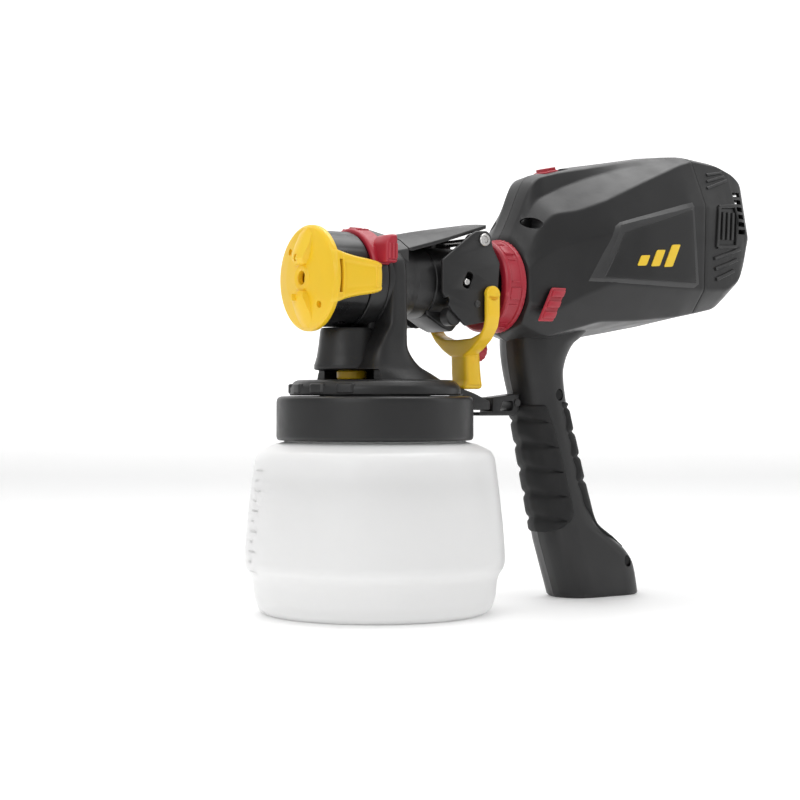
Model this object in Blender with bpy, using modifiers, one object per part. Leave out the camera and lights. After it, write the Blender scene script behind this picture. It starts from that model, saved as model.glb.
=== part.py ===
"""Hand-held turbine paint sprayer: a power unit with a fan, and a front spray attachment with a screw-on container.

Every size below is in millimetres, and each object's scale turns it into metres. The origin is the centre of
the container's base on the floor. The spray leaves along -X, the handle is towards +X, and -Y is the left side.
"""

import math

import bmesh
import bpy
from mathutils import Matrix, Vector

MM = 0.001
OBJECT_NAME = "paint_sprayer"

# Gaps, walls and smoothness
GAP = 0.3
SHELL_WALL = 2.5
CONTAINER_WALL = 2.0
ROUND_STEPS = 32
SMALL_STEPS = 16

# Container and lid
CONTAINER_RADIUS = 70.0
NECK_RADIUS = 48.4
NECK_TOP = 109.0
LID_RADIUS = 53.0
LID_BOTTOM, LID_EDGE, LID_TOP = 92.5, 112.5, 116.2
LID_HOLE_RADIUS = 30.0
COLLAR_RADIUS, COLLAR_TOP = 46.0, 124.7

# Spray axis and the pieces along it
BARREL_Z = 178.0
BARREL_RADIUS = 19.5
BARREL_BORE = 14.5
BARREL_FRONT, BARREL_REAR = -18.7, 66.0
CAP_FRONT, CAP_RADIUS = -45.0, 28.0
NUT_FRONT, NUT_REAR, NUT_RADIUS = -39.6, -19.0, 25.4
CAPE_X = -0.9
CHANNEL_Z, CHANNEL_RADIUS = 141, 2.8
WIDTH_RING_FRONT, WIDTH_RING_REAR, WIDTH_RING_RADIUS = -18.7, -8.0, 27.6
SUCTION_X = -18.0

# Trigger
PIVOT_X, PIVOT_Z = 55.3, 201.2
PEG_X = 44.3
PEG_RADIUS = 1.8
CHEEK_INNER, CHEEK_OUTER = 22.0, 24.5
LEVER_BOTTOM = 120.0

# Power unit
LOCK_RING_FRONT, LOCK_RING_REAR, LOCK_RING_RADIUS = 70.3, 84.0, 26.3
DUCT_BORE, DUCT_RADIUS = 20.0, 22.0
TURBINE_Z = 205.0
TURBINE_FRONT, TURBINE_REAR, TURBINE_RADIUS = 150.0, 196.0, 36.0
MOTOR_FRONT, MOTOR_RADIUS = 126.0, 20.0
COVER_FRONT = 202.0
SWITCH_X, SWITCH_Z, SWITCH_SLANT = 97.5, 167.0, 27.0
SLIDER_X, SLIDER_Z, SLIDER_SLOPE = 121.0, 245.0, 12.0
CATCH_PIVOT_X, CATCH_PIVOT_Z = 95.5, 112.5
SCREW_PLACES = ((94.0, 213.0, 21.0), (116.5, 117.0, 14.5), (168.0, 20.0, 15.0))

# The housing's half sections: X, then (half width, height) from the spine's top centre round to the bottom centre
HOUSING = (
    (84.6, ((0, 205), (9, 203.5), (15, 200), (22, 193), (27, 186), (27, 168), (20, 156.5), (0, 150))),
    (92.0, ((0, 219), (9, 218), (14, 214), (23, 206.5), (28, 193), (28, 166), (21, 153), (0, 146))),
    (99.0, ((0, 235), (10, 234.5), (13.5, 226), (25, 214), (29.5, 197), (28.5, 165), (22, 150), (0, 144))),
    (103.5, ((0, 241.5), (11.5, 240), (14, 228.5), (26.5, 218), (30.5, 199), (29, 164), (23, 150), (0, 143))),
    (118.0, ((0, 245.5), (12, 243.8), (14.5, 235), (30.5, 220.5), (35, 203), (34, 172), (26, 154), (0, 146))),
    (134.0, ((0, 248.8), (12.5, 247), (15.5, 240.5), (34, 226.5), (41, 208), (40, 179), (30, 158.5), (0, 149))),
    (160.0, ((0, 253.2), (14, 252), (17.5, 248), (35, 238), (43.5, 216), (43, 178.5), (33, 159.5), (0, 153))),
    (190.0, ((0, 258.5), (20, 257), (24.5, 255), (34.5, 250.5), (45.5, 226), (44.5, 178), (34.5, 162.5), (0, 158))),
    (201.7, ((0, 259), (22, 257.8), (27.5, 256.5), (34, 254), (46, 227), (44.5, 178), (34, 164.5), (0, 161))),
)
COVER = (
    (202.0, ((0, 259), (22, 257.8), (27.5, 256.5), (34, 254), (46, 227), (44.5, 178), (34, 164.5), (0, 161))),
    (221.0, ((0, 256.5), (22, 255.8), (28.5, 254.5), (35.5, 252), (45.8, 225), (44, 178.5), (32, 168), (0, 165))),
    (233.0, ((0, 251.5), (22, 251), (29, 250), (36.5, 247.5), (44.5, 219), (42, 185), (30, 176), (0, 174))),
    (240.0, ((0, 246.5), (21, 246), (28, 245), (36, 242.5), (42.3, 210), (39, 197), (28, 188), (0, 186))),
    (245.0, ((0, 238), (18, 237.5), (24, 236), (31, 232), (36.5, 210), (34, 203), (24, 197), (0, 195))),
)

# The handle's sections: height, front X, rear X, half width
HANDLE = (
    (0.0, 125.4, 182.6, 17.0),
    (18.0, 119.3, 178.5, 17.0),
    (26.0, 116.6, 172.8, 16.8),
    (34.0, 113.9, 162.0, 16.6),
    (43.5, 111.7, 149.2, 16.3),
    (57.0, 108.8, 144.0, 16.2),
    (85.0, 102.5, 135.6, 16.0),
    (113.0, 96.3, 128.0, 16.0),
    (130.0, 92.0, 125.6, 16.5),
    (136.0, 91.0, 126.8, 16.8),
    (142.0, 90.3, 129.5, 17.0),
    (147.0, 90.0, 133.5, 17.0),
    (151.0, 90.0, 140.0, 17.0),
    (160.0, 92.0, 150.0, 16.0),
)

COLOURS = {
    "charcoal": ((0.045, 0.045, 0.047, 1), 0.45, 0.0),
    "soft_grip": ((0.02, 0.02, 0.021, 1), 0.75, 0.0),
    "yellow": ((0.85, 0.6, 0.03, 1), 0.4, 0.0),
    "red": ((0.45, 0.03, 0.06, 1), 0.4, 0.0),
    "milky": ((0.82, 0.82, 0.82, 1), 0.35, 0.0),
    "steel": ((0.6, 0.6, 0.6, 1), 0.3, 1.0),
    "black_steel": ((0.05, 0.05, 0.05, 1), 0.35, 1.0),
    "copper_board": ((0.03, 0.18, 0.08, 1), 0.5, 0.0),
    "rubber": ((0.01, 0.01, 0.01, 1), 0.8, 0.0),
    "foam": ((0.09, 0.09, 0.1, 1), 0.95, 0.0),
}


# Scene and material helpers

def clear_scene():
    for obj in list(bpy.data.objects):
        bpy.data.objects.remove(obj, do_unlink=True)


def new_collection(name):
    collection = bpy.data.collections.new(name)
    bpy.context.scene.collection.children.link(collection)
    return collection


def material(name):
    found = bpy.data.materials.get(name)
    if found:
        return found
    colour, roughness, metallic = COLOURS[name]
    made = bpy.data.materials.new(name)
    made.use_nodes = True
    made.diffuse_color = colour
    shader = made.node_tree.nodes["Principled BSDF"]
    shader.inputs["Base Color"].default_value = colour
    shader.inputs["Roughness"].default_value = roughness
    shader.inputs["Metallic"].default_value = metallic
    return made


def place(name, mesh, collection, origin):
    obj = bpy.data.objects.new(name, mesh)
    obj.location = Vector(origin) * MM
    obj.scale = (MM, MM, MM)
    collection.objects.link(obj)
    return obj


def mesh_of(name, shape, origin):
    """The bmesh, drawn in world millimetres, as a mesh in millimetres about its origin."""
    bmesh.ops.transform(shape, matrix=Matrix.Translation(-Vector(origin)), verts=shape.verts)
    bmesh.ops.triangulate(shape, faces=shape.faces)
    bmesh.ops.recalc_face_normals(shape, faces=shape.faces)
    mesh = bpy.data.meshes.new(name)
    shape.to_mesh(mesh)
    shape.free()
    return mesh


def piece(name, shape, material_name, origin=(0, 0, 0), smooth=True):
    """A named part in the object's own collection."""
    mesh = mesh_of(name, shape, origin)
    if smooth:
        mesh.shade_smooth()
        mesh.set_sharp_from_angle(angle=math.radians(35))
    mesh.materials.append(material(material_name))
    return place(name, mesh, PARTS, origin)


def cutter(name, shape):
    """A hidden helper for the Boolean modifiers."""
    obj = place(name, mesh_of(name, shape, (0, 0, 0)), CUTTERS, (0, 0, 0))
    obj.hide_render = True
    obj.display_type = "WIRE"
    return obj


def boolean(target, other, operation="DIFFERENCE"):
    modifier = target.modifiers.new(operation.lower(), "BOOLEAN")
    modifier.operation = operation
    modifier.solver = "EXACT"
    modifier.object = other


def cut(target, *shapes):
    for shape in shapes:
        boolean(target, cutter(f"{target.name}_cut_{len(target.modifiers) + 1}", shape))


def join(target, *shapes):
    for shape in shapes:
        boolean(target, cutter(f"{target.name}_join_{len(target.modifiers) + 1}", shape), "UNION")


# Shape helpers: each returns a bmesh in world millimetres

def box(x0, x1, y0, y1, z0, z1):
    shape = bmesh.new()
    bmesh.ops.create_cube(shape, size=1)
    bmesh.ops.scale(shape, vec=(x1 - x0, y1 - y0, z1 - z0), verts=shape.verts)
    centre = Vector(((x0 + x1) / 2, (y0 + y1) / 2, (z0 + z1) / 2))
    bmesh.ops.translate(shape, vec=centre, verts=shape.verts)
    return shape


def turned_towards(axis):
    """The rotation that takes +Z to the axis."""
    return Vector((0, 0, 1)).rotation_difference(Vector(axis)).to_matrix().to_4x4()


def cone(start, end, start_radius, end_radius, steps=SMALL_STEPS):
    start, end = Vector(start), Vector(end)
    shape = bmesh.new()
    bmesh.ops.create_cone(
        shape, cap_ends=True, segments=steps, radius1=start_radius, radius2=end_radius, depth=(end - start).length
    )
    move = Matrix.Translation((start + end) / 2) @ turned_towards(end - start)
    bmesh.ops.transform(shape, matrix=move, verts=shape.verts)
    return shape


def rod(start, end, radius, steps=SMALL_STEPS):
    return cone(start, end, radius, radius, steps)


def turned(profile, axis="Z", centre=(0, 0, 0), steps=ROUND_STEPS, closed=False):
    """A Screw modifier's turn of (radius, distance along the axis) points, as a bmesh."""
    outline = bpy.data.meshes.new("profile")
    points = [(radius, 0, along) for radius, along in profile]
    edges = [(i, i + 1) for i in range(len(points) - 1)]
    if closed:
        edges.append((len(points) - 1, 0))
    outline.from_pydata(points, edges, [])
    holder = bpy.data.objects.new("profile", outline)
    CUTTERS.objects.link(holder)
    screw = holder.modifiers.new("screw", "SCREW")
    screw.steps = screw.render_steps = steps
    screw.use_merge_vertices = True
    screw.merge_threshold = 0.0001
    evaluated = holder.evaluated_get(bpy.context.evaluated_depsgraph_get())
    shape = bmesh.new()
    shape.from_mesh(evaluated.to_mesh())
    evaluated.to_mesh_clear()
    bpy.data.objects.remove(holder, do_unlink=True)
    bpy.data.meshes.remove(outline)
    bmesh.ops.remove_doubles(shape, verts=shape.verts, dist=0.0001)
    axes = {"X": (1, 0, 0), "Y": (0, 1, 0), "Z": (0, 0, 1)}
    move = Matrix.Translation(centre) @ turned_towards(axes[axis])
    bmesh.ops.transform(shape, matrix=move, verts=shape.verts)
    return shape


def ring(inner, outer, start, end, axis="X", centre=(0, 0, BARREL_Z), steps=ROUND_STEPS):
    """A plain tube between two distances along its axis."""
    profile = ((inner, start), (outer, start), (outer, end), (inner, end))
    return turned(profile, axis, centre, steps, closed=True)


def plate(outline, y0, y1):
    """A flat outline of (X, Z) points, as thick as y0 to y1."""
    shape = bmesh.new()
    face = shape.faces.new([shape.verts.new((x, y0, z)) for x, z in outline])
    extruded = bmesh.ops.extrude_face_region(shape, geom=[face])
    moved = [item for item in extruded["geom"] if isinstance(item, bmesh.types.BMVert)]
    bmesh.ops.translate(shape, vec=(0, y1 - y0, 0), verts=moved)
    return shape


def loft(rings):
    """A closed skin through rings that have as many points each."""
    shape = bmesh.new()
    levels = [[shape.verts.new(point) for point in points] for points in rings]
    for lower, upper in zip(levels, levels[1:]):
        for i in range(len(lower)):
            j = (i + 1) % len(lower)
            shape.faces.new((lower[i], lower[j], upper[j], upper[i]))
    shape.faces.new(levels[0])
    shape.faces.new(levels[-1])
    return shape


def tilted(shape, degrees, pivot, axis="Y"):
    move = Matrix.Translation(pivot) @ Matrix.Rotation(math.radians(degrees), 4, axis)
    bmesh.ops.transform(shape, matrix=move @ Matrix.Translation(-Vector(pivot)), verts=shape.verts)
    return shape


def arc(centre, radius, start, end, count):
    """(X, Z) points round a centre, from one angle to another in degrees."""
    steps = [math.radians(start + (end - start) * i / (count - 1)) for i in range(count)]
    return [(centre[0] + radius * math.cos(a), centre[1] + radius * math.sin(a)) for a in steps]


def swept_plate(line, half_width, y0, y1):
    """A plate that follows a line of (X, Z) points at an even width."""
    left, right = [], []
    for i, point in enumerate(line):
        before, after = Vector(line[max(i - 1, 0)]), Vector(line[min(i + 1, len(line) - 1)])
        across = (after - before).normalized().orthogonal() * half_width
        left.append(tuple(Vector(point) + across))
        right.append(tuple(Vector(point) - across))
    return plate(left + right[::-1], y0, y1)


# Sections of the power unit

def housing_ring(x, half, inset, side=0):
    """A housing section at X, drawn in by the inset: whole when side is 0, else the half on that side."""
    heights = [z for _, z in half]
    middle = (max(heights) + min(heights)) / 2
    tall = (max(heights) - min(heights)) / 2
    wide = max(y for y, _ in half)
    drawn = [(y * (1 - inset / wide), middle + (z - middle) * (1 - inset / tall)) for y, z in half]
    if side:
        return [(x, side * max(y, GAP / 2), z) for y, z in drawn]
    return [(x, y, z) for y, z in drawn] + [(x, -y, z) for y, z in drawn[-2:0:-1]]


def handle_ring(z, front, rear, half_width, grow=0.0, side=0):
    front, rear, wide = front - grow, rear + grow, half_width + grow
    half = (
        (front, 0), (front + 1.5, 0.45 * wide), (front + 6, 0.85 * wide), (front + 14, wide),
        (rear - 12, wide), (rear - 4, 0.8 * wide), (rear - 0.8, 0.4 * wide), (rear, 0),
    )
    if side:
        return [(x, side * max(y, GAP / 2), z) for x, y in half]
    return [(x, y, z) for x, y in half] + [(x, -y, z) for x, y in half[-2:0:-1]]


def handle_loft(grow=0.0, side=0, top=160.0, bottom=-1.0):
    levels = [level for level in HANDLE if bottom <= level[0] <= top]
    return loft([handle_ring(*level, grow=grow, side=side) for level in levels])


def housing_half(name, side):
    rings = [housing_ring(x, half, 0.0, side) for x, half in HOUSING]
    half = piece(name, loft(rings), "charcoal")
    join(half, handle_loft(side=side))
    inner = [housing_ring(x, section, SHELL_WALL) for x, section in HOUSING[1:]]
    last = [(COVER_FRONT + 1, y, z) for _, y, z in inner[-1]]
    cut(half, loft(inner + [last]), handle_loft(grow=-SHELL_WALL, bottom=18.0))
    axis_end = (98, 0, BARREL_Z)
    cut(half, rod((80, 0, BARREL_Z), axis_end, DUCT_RADIUS + GAP, ROUND_STEPS))
    cut(half, tilted(box(SLIDER_X - 9, SLIDER_X + 9, -7.5, 7.5, SLIDER_Z - 3.4, SLIDER_Z + 12),
                     -SLIDER_SLOPE, (SLIDER_X, 0, SLIDER_Z)))
    cut(half, rod((172, 0, 8), (190, 0, 8), 5.5 + GAP), box(160, 175, -9, 9, 1.8, 19))
    for x, z, deep in SCREW_PLACES:
        join(half, rod((x, side * GAP / 2, z), (x, side * deep, z), 5.2))
        cut(half, rod((x, side * 10.5, z), (x, side * 60, z), 3.4), rod((x, 0, z), (x, side * 12, z), 1.8))


def power_unit():
    housing_half("housing_left", -1)
    housing_half("housing_right", 1)
    outlet_duct()
    turbine()
    electrics()
    for number, (x, z, _) in enumerate(SCREW_PLACES, 1):
        screw(f"housing_screw_{number}", x, z)
    grips()
    lock_ring()
    power_switch()
    air_slider()
    catch()
    filter_cover()


def outlet_duct():
    piece("outlet_duct", ring(DUCT_BORE, DUCT_RADIUS, 84.8, 122), "charcoal")
    piece("duct_seal", ring(DUCT_BORE, 24, 122.3, 125.4), "rubber")


def turbine():
    """The fan casing, open at its rear, the fan and shaft that turn in it, and the motor in front of it."""
    centre = (0, 0, TURBINE_Z)
    inner = TURBINE_RADIUS - 2.5
    profile = (
        (4, TURBINE_FRONT), (TURBINE_RADIUS, TURBINE_FRONT), (TURBINE_RADIUS, TURBINE_REAR),
        (20, TURBINE_REAR), (20, TURBINE_REAR - 2.5), (inner, TURBINE_REAR - 2.5),
        (inner, TURBINE_FRONT + 2.5), (4, TURBINE_FRONT + 2.5),
    )
    piece("turbine_casing", turned(profile, "X", centre, closed=True), "charcoal")
    piece("motor_can", ring(4, MOTOR_RADIUS, MOTOR_FRONT, TURBINE_FRONT - GAP, "X", centre), "steel")
    fan = ((3.3, 160), (8, 160), (30, 178), (30, 188), (27, 188), (8, 168), (8, 186), (3.3, 186))
    piece("turbine_fan", turned(fan, "X", centre, closed=True), "steel", origin=(160, 0, TURBINE_Z))
    shaft = rod((MOTOR_FRONT + 1, 0, TURBINE_Z), (188, 0, TURBINE_Z), 3)
    piece("motor_shaft", shaft, "steel", origin=(160, 0, TURBINE_Z))


def electrics():
    piece("circuit_board", box(126, 147, -14, 14, 233, 235), "copper_board", smooth=False)
    piece("switch_block", box(104, 120, -9, 9, 128, 146), "charcoal", smooth=False)
    piece("cable_gland", ring(3.2, 5.5, 175.5, 181.5, "X", (0, 0, 8), SMALL_STEPS), "rubber")


def screw(name, x, z):
    """A housing screw that sits deep in its hole on the left side."""
    head = rod((x, -14, z), (x, -11.5, z), 3.0, 16)
    shank = rod((x, -12, z), (x, -4, z), 1.5, 12)
    joined = piece(name, head, "black_steel")
    join(joined, shank)


def grips():
    """Soft panels over the front and the rear of the handle, with grooves for the fingers."""
    front_region = [(80, 111.5), (106.5, 111.5), (108, 110), (113.5, 97), (119.5, 78), (124.8, 59),
                    (127.5, 49.5), (126, 45.5), (120, 41), (108, 36), (85, 36)]
    front = grip("front_grip", front_region)
    for z in (104.3, 90.1, 76.0, 61.8, 47.7):
        x = 96.3 + (113 - z) * 0.224
        cut(front, tilted(box(x - 6, x + 3.0, -24, 24, z - 0.8, z + 0.8), 13, (x, 0, z)))
    rear_region = [(118.5, 113), (140, 113), (150, 60), (160, 44), (190, 27), (190, 26), (172, 27),
                   (152, 36), (141, 46), (131.5, 60), (124.5, 87)]
    rear = grip("rear_grip", rear_region)
    for z in (111.0, 97.0, 83.0, 69.0):
        x = 130.2 + (113 - z) * 0.285
        cut(rear, tilted(box(x - 2.0, x + 6, -24, 24, z - 0.9, z + 0.9), 13, (x, 0, z)))


def grip(name, region):
    made = piece(name, handle_loft(grow=1.5, top=130), "soft_grip")
    cut(made, handle_loft(grow=GAP, top=140, bottom=0))
    boolean(made, cutter(name + "_region", plate(region, -30, 30)), "INTERSECT")
    return made


def lock_ring():
    """The ring that clamps the spray attachment on: it turns about the barrel's axis."""
    profile = (
        (DUCT_BORE + 0.6, LOCK_RING_FRONT), (LOCK_RING_RADIUS - 1.2, LOCK_RING_FRONT),
        (LOCK_RING_RADIUS, LOCK_RING_FRONT + 1.2), (LOCK_RING_RADIUS, LOCK_RING_REAR),
        (DUCT_BORE + 0.6, LOCK_RING_REAR),
    )
    origin = (LOCK_RING_FRONT, 0, BARREL_Z)
    made = piece("lock_ring", turned(profile, "X", (0, 0, BARREL_Z), closed=True), "red", origin)
    for number in range(6):
        angle = math.radians(60 * number + 12)
        y, z = LOCK_RING_RADIUS * math.cos(angle), LOCK_RING_RADIUS * math.sin(angle)
        block = tilted(box(73.5, 80.5, -2.6, 2.6, -1.2, 0.9), 60 * number + 12 - 90, (0, 0, 0), "X")
        bmesh.ops.translate(block, vec=(0, y, BARREL_Z + z), verts=block.verts)
        join(made, block)


def power_switch():
    """The stepped slide on the left side that turns the unit on."""
    pivot = (SWITCH_X, 0, SWITCH_Z)
    base = box(SWITCH_X - 4.5, SWITCH_X + 4.5, -32.4, -30.3, SWITCH_Z - 9.5, SWITCH_Z + 9.5)
    made = piece("power_switch", tilted(base, SWITCH_SLANT, pivot), "red", origin=pivot)
    for step in (-5, 0, 5):
        rib = box(SWITCH_X - 4.0, SWITCH_X + 4.0, -33.8, -31.2, SWITCH_Z + step - 1.4, SWITCH_Z + step + 1.4)
        join(made, tilted(rib, SWITCH_SLANT, pivot))


def air_slider():
    """The slide on top of the spine that sets the air power."""
    pivot = (SLIDER_X - 2, 0, SLIDER_Z)
    cap = box(SLIDER_X - 6.5, SLIDER_X + 2.5, -6.5, 6.5, SLIDER_Z - 2.6, SLIDER_Z + 1.2)
    made = piece("air_slider", tilted(cap, -SLIDER_SLOPE, (SLIDER_X, 0, SLIDER_Z)), "red", origin=pivot)
    rib = box(SLIDER_X - 3.2, SLIDER_X - 0.8, -5.5, 5.5, SLIDER_Z, SLIDER_Z + 3)
    join(made, tilted(rib, -SLIDER_SLOPE, (SLIDER_X, 0, SLIDER_Z)))


def catch():
    """The arm in front of the handle that carries the tail of the attachment."""
    outline = [(66, 105.2), (91.5, 105.2), (94.6, 108), (94.6, 117.6), (76, 115.5), (75.5, 107.2), (66, 107.2)]
    made = piece("catch_arm", plate(outline, -6, 6), "charcoal", (CATCH_PIVOT_X, 0, CATCH_PIVOT_Z), smooth=False)
    cut(made, plate([(81, 108), (89, 108), (90.5, 110), (90, 113.4), (83, 113.4)], -8, 8))


def filter_cover():
    """The slotted rear cover, with the foam filter that comes off with it."""
    made = piece("filter_cover", loft([housing_ring(x, half, 0.0) for x, half in COVER]), "charcoal")
    inner = [housing_ring(x, half, SHELL_WALL) for x, half in COVER[:-1]]
    inner[0] = [(COVER_FRONT - 1, y, z) for _, y, z in inner[0]]
    cut(made, loft(inner))
    for side in (-1, 1):
        for number in range(5):
            z = 213.5 + 5.0 * number
            cut(made, box(232.5, 250, min(side * 27, side * 60), max(side * 27, side * 60), z - 1.5, z + 1.5))
    piece("air_filter", box(204, 211, -32, 32, 182, 244), "foam", smooth=False)


# Spray attachment

def attachment():
    attachment_body()
    lid()
    container()
    spray_head()
    needle()
    trigger()
    roof_cover()


def oval(z, centre, along, across, power, count=24):
    """A level ring of points. A power of 2 makes an ellipse, and a higher one makes it boxier."""
    points = []
    for i in range(count):
        turn = 2 * math.pi * i / count
        c, d = math.cos(turn), math.sin(turn)
        reach = (abs(c) ** power + abs(d) ** power) ** (-1 / power)
        points.append((centre + along * reach * c, across * reach * d, z))
    return points


def attachment_body():
    """Barrel, cape and collar in one casting, bored for the air and the needle."""
    collar = (
        (0, COLLAR_TOP), (42.6, COLLAR_TOP), (COLLAR_RADIUS, 121.4), (COLLAR_RADIUS, LID_TOP + 0.4),
        (LID_HOLE_RADIUS - 0.4, LID_TOP + 0.4), (LID_HOLE_RADIUS - 0.4, 112.9), (0, 112.9),
    )
    made = piece("attachment_body", turned(collar), "charcoal")
    cape = loft([
        oval(123, 2, 36, 37.5, 2), oval(127, -1, 28, 34, 2.6), oval(132, -4, 18, 30, 4), oval(140, -5, 12, 27, 4),
        oval(148, -3.2, 9, 25.7, 4), oval(150, CAPE_X, 6.6, 25.4, 4), oval(186, CAPE_X, 6.4, 24.6, 4),
        oval(192, CAPE_X, 6.2, 20.5, 4),
    ])
    barrel = turned(
        ((0, BARREL_REAR), (BARREL_RADIUS, BARREL_REAR), (BARREL_RADIUS, 14), (26.5, -3), (26.5, -7.7),
         (BARREL_RADIUS, -7.7), (BARREL_RADIUS, BARREL_FRONT), (0, BARREL_FRONT)),
        "X", (0, 0, BARREL_Z),
    )
    tail = plate([(22, 118), (54.4, 117), (57, 112), (62, 108.4), (73, 108.4), (73, 113.2), (62, 117.8),
                  (44, 123.2), (22, 126.6)], -7.3, 7.3)
    join(made, cape, barrel, tail)
    join(made, plate([(27, 150), (43, 150), (48, 156), (48, 166), (24, 166), (24, 156)], -11, 11))
    ridge = []
    for x, crest, edge, wide in ((-7.3, 206.5, 191.5, 19.8), (8.6, 202.8, 194.6, 19.2)):
        brow = edge + 0.62 * (crest - edge)
        ridge.append([(x, -wide, 186), (x, -wide, edge), (x, -0.55 * wide, brow), (x, 0, crest),
                      (x, 0.55 * wide, brow), (x, wide, edge), (x, wide, 186)])
    join(made, loft(ridge))
    for side in (-1, 1):
        lug = [(46, 186), (51.2, 203)] + arc((PIVOT_X, PIVOT_Z), 4.2, 130, 0, 6) + [(62, 186)]
        join(made, plate(lug, min(side * 12, side * 18), max(side * 12, side * 18)))
    suction = turned(((0, 148.8), (12.5, 148.8), (15, 137), (17.4, 133), (17.4, 130.2), (0, 130.2)),
                     "Z", (SUCTION_X, 0, 0))
    join(made, suction)
    cut(made, rod((-6, 0, BARREL_Z), (BARREL_REAR + 5, 0, BARREL_Z), BARREL_BORE, ROUND_STEPS))
    cut(made, rod((BARREL_FRONT - 4, 0, BARREL_Z), (0, 0, BARREL_Z), 5.3))
    cut(made, rod((SUCTION_X, 0, 120), (SUCTION_X, 0, CHANNEL_Z), 4),
        rod((SUCTION_X, 0, CHANNEL_Z), (CAPE_X, 0, CHANNEL_Z), CHANNEL_RADIUS),
        rod((CAPE_X, 0, CHANNEL_Z - 1), (CAPE_X, 0, 170), CHANNEL_RADIUS))
    cut(made, box(-60, -6.6, -24, 24, COLLAR_TOP, 130.0))
    cut(made, box(PEG_X - 2.4, PEG_X + 9.4, -30, 30, BARREL_Z - 2.4, BARREL_Z + 2.4))
    cut(made, rod((PIVOT_X, -30, PIVOT_Z), (PIVOT_X, 30, PIVOT_Z), 2.0 + GAP))
    cut(made, turned(((0, 118.5), (24, 118.5), (24, 105), (0, 105))), rod((0, 0, 115), (0, 0, 122), 4.9))
    for modifier in made.modifiers:
        # So many joined shapes leave open edges under the exact solver.
        modifier.solver = "MANIFOLD"
    piece("vent_disc", rod((-15, 0, COLLAR_TOP + GAP), (-15, 0, 129.7), 8), "yellow")
    piece("coupling_sleeve", ring(14.5, 17.5, BARREL_REAR + GAP, 104), "charcoal")
    piece("coupling_seal", ring(17.8, 19.6, 96, 99), "rubber")
    piece("trigger_pin", rod((PIVOT_X, -25.8, PIVOT_Z), (PIVOT_X, 25.8, PIVOT_Z), 2.0), "steel")


def lid():
    profile = (
        (LID_HOLE_RADIUS, LID_TOP), (46.4, LID_TOP), (LID_RADIUS, LID_EDGE), (LID_RADIUS, LID_BOTTOM),
        (50.4, LID_BOTTOM), (50.4, 112.4), (LID_HOLE_RADIUS, 112.4),
    )
    piece("container_lid", turned(profile, closed=True), "charcoal")
    piece("lid_gasket", ring(40, 49, NECK_TOP + GAP, 112.1, "Z", (0, 0, 0)), "rubber")
    tube = ring(3, 4.6, 8, 121.6, "Z", (0, 0, 0), 16)
    piece("riser_tube", tube, "milky")


def container():
    """The milky screw-on container, open at its neck."""
    outer = (
        (NECK_RADIUS, NECK_TOP), (NECK_RADIUS, 91), (56.6, 88), (63.5, 84), (66.2, 72), (68.9, 46),
        (CONTAINER_RADIUS, 28), (69, 23.5), (66, 19), (63.5, 6), (60, 1), (57, 0), (0, 0),
    )
    wall = CONTAINER_WALL
    inner = (
        (0, wall), (57, wall), (61.8, 7), (64, 19), (CONTAINER_RADIUS - wall, 28), (64.2, 71), (61.8, 82),
        (NECK_RADIUS - wall, 89), (NECK_RADIUS - wall, NECK_TOP),
    )
    piece("container", turned(inner + outer), "milky", smooth=True)


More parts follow.
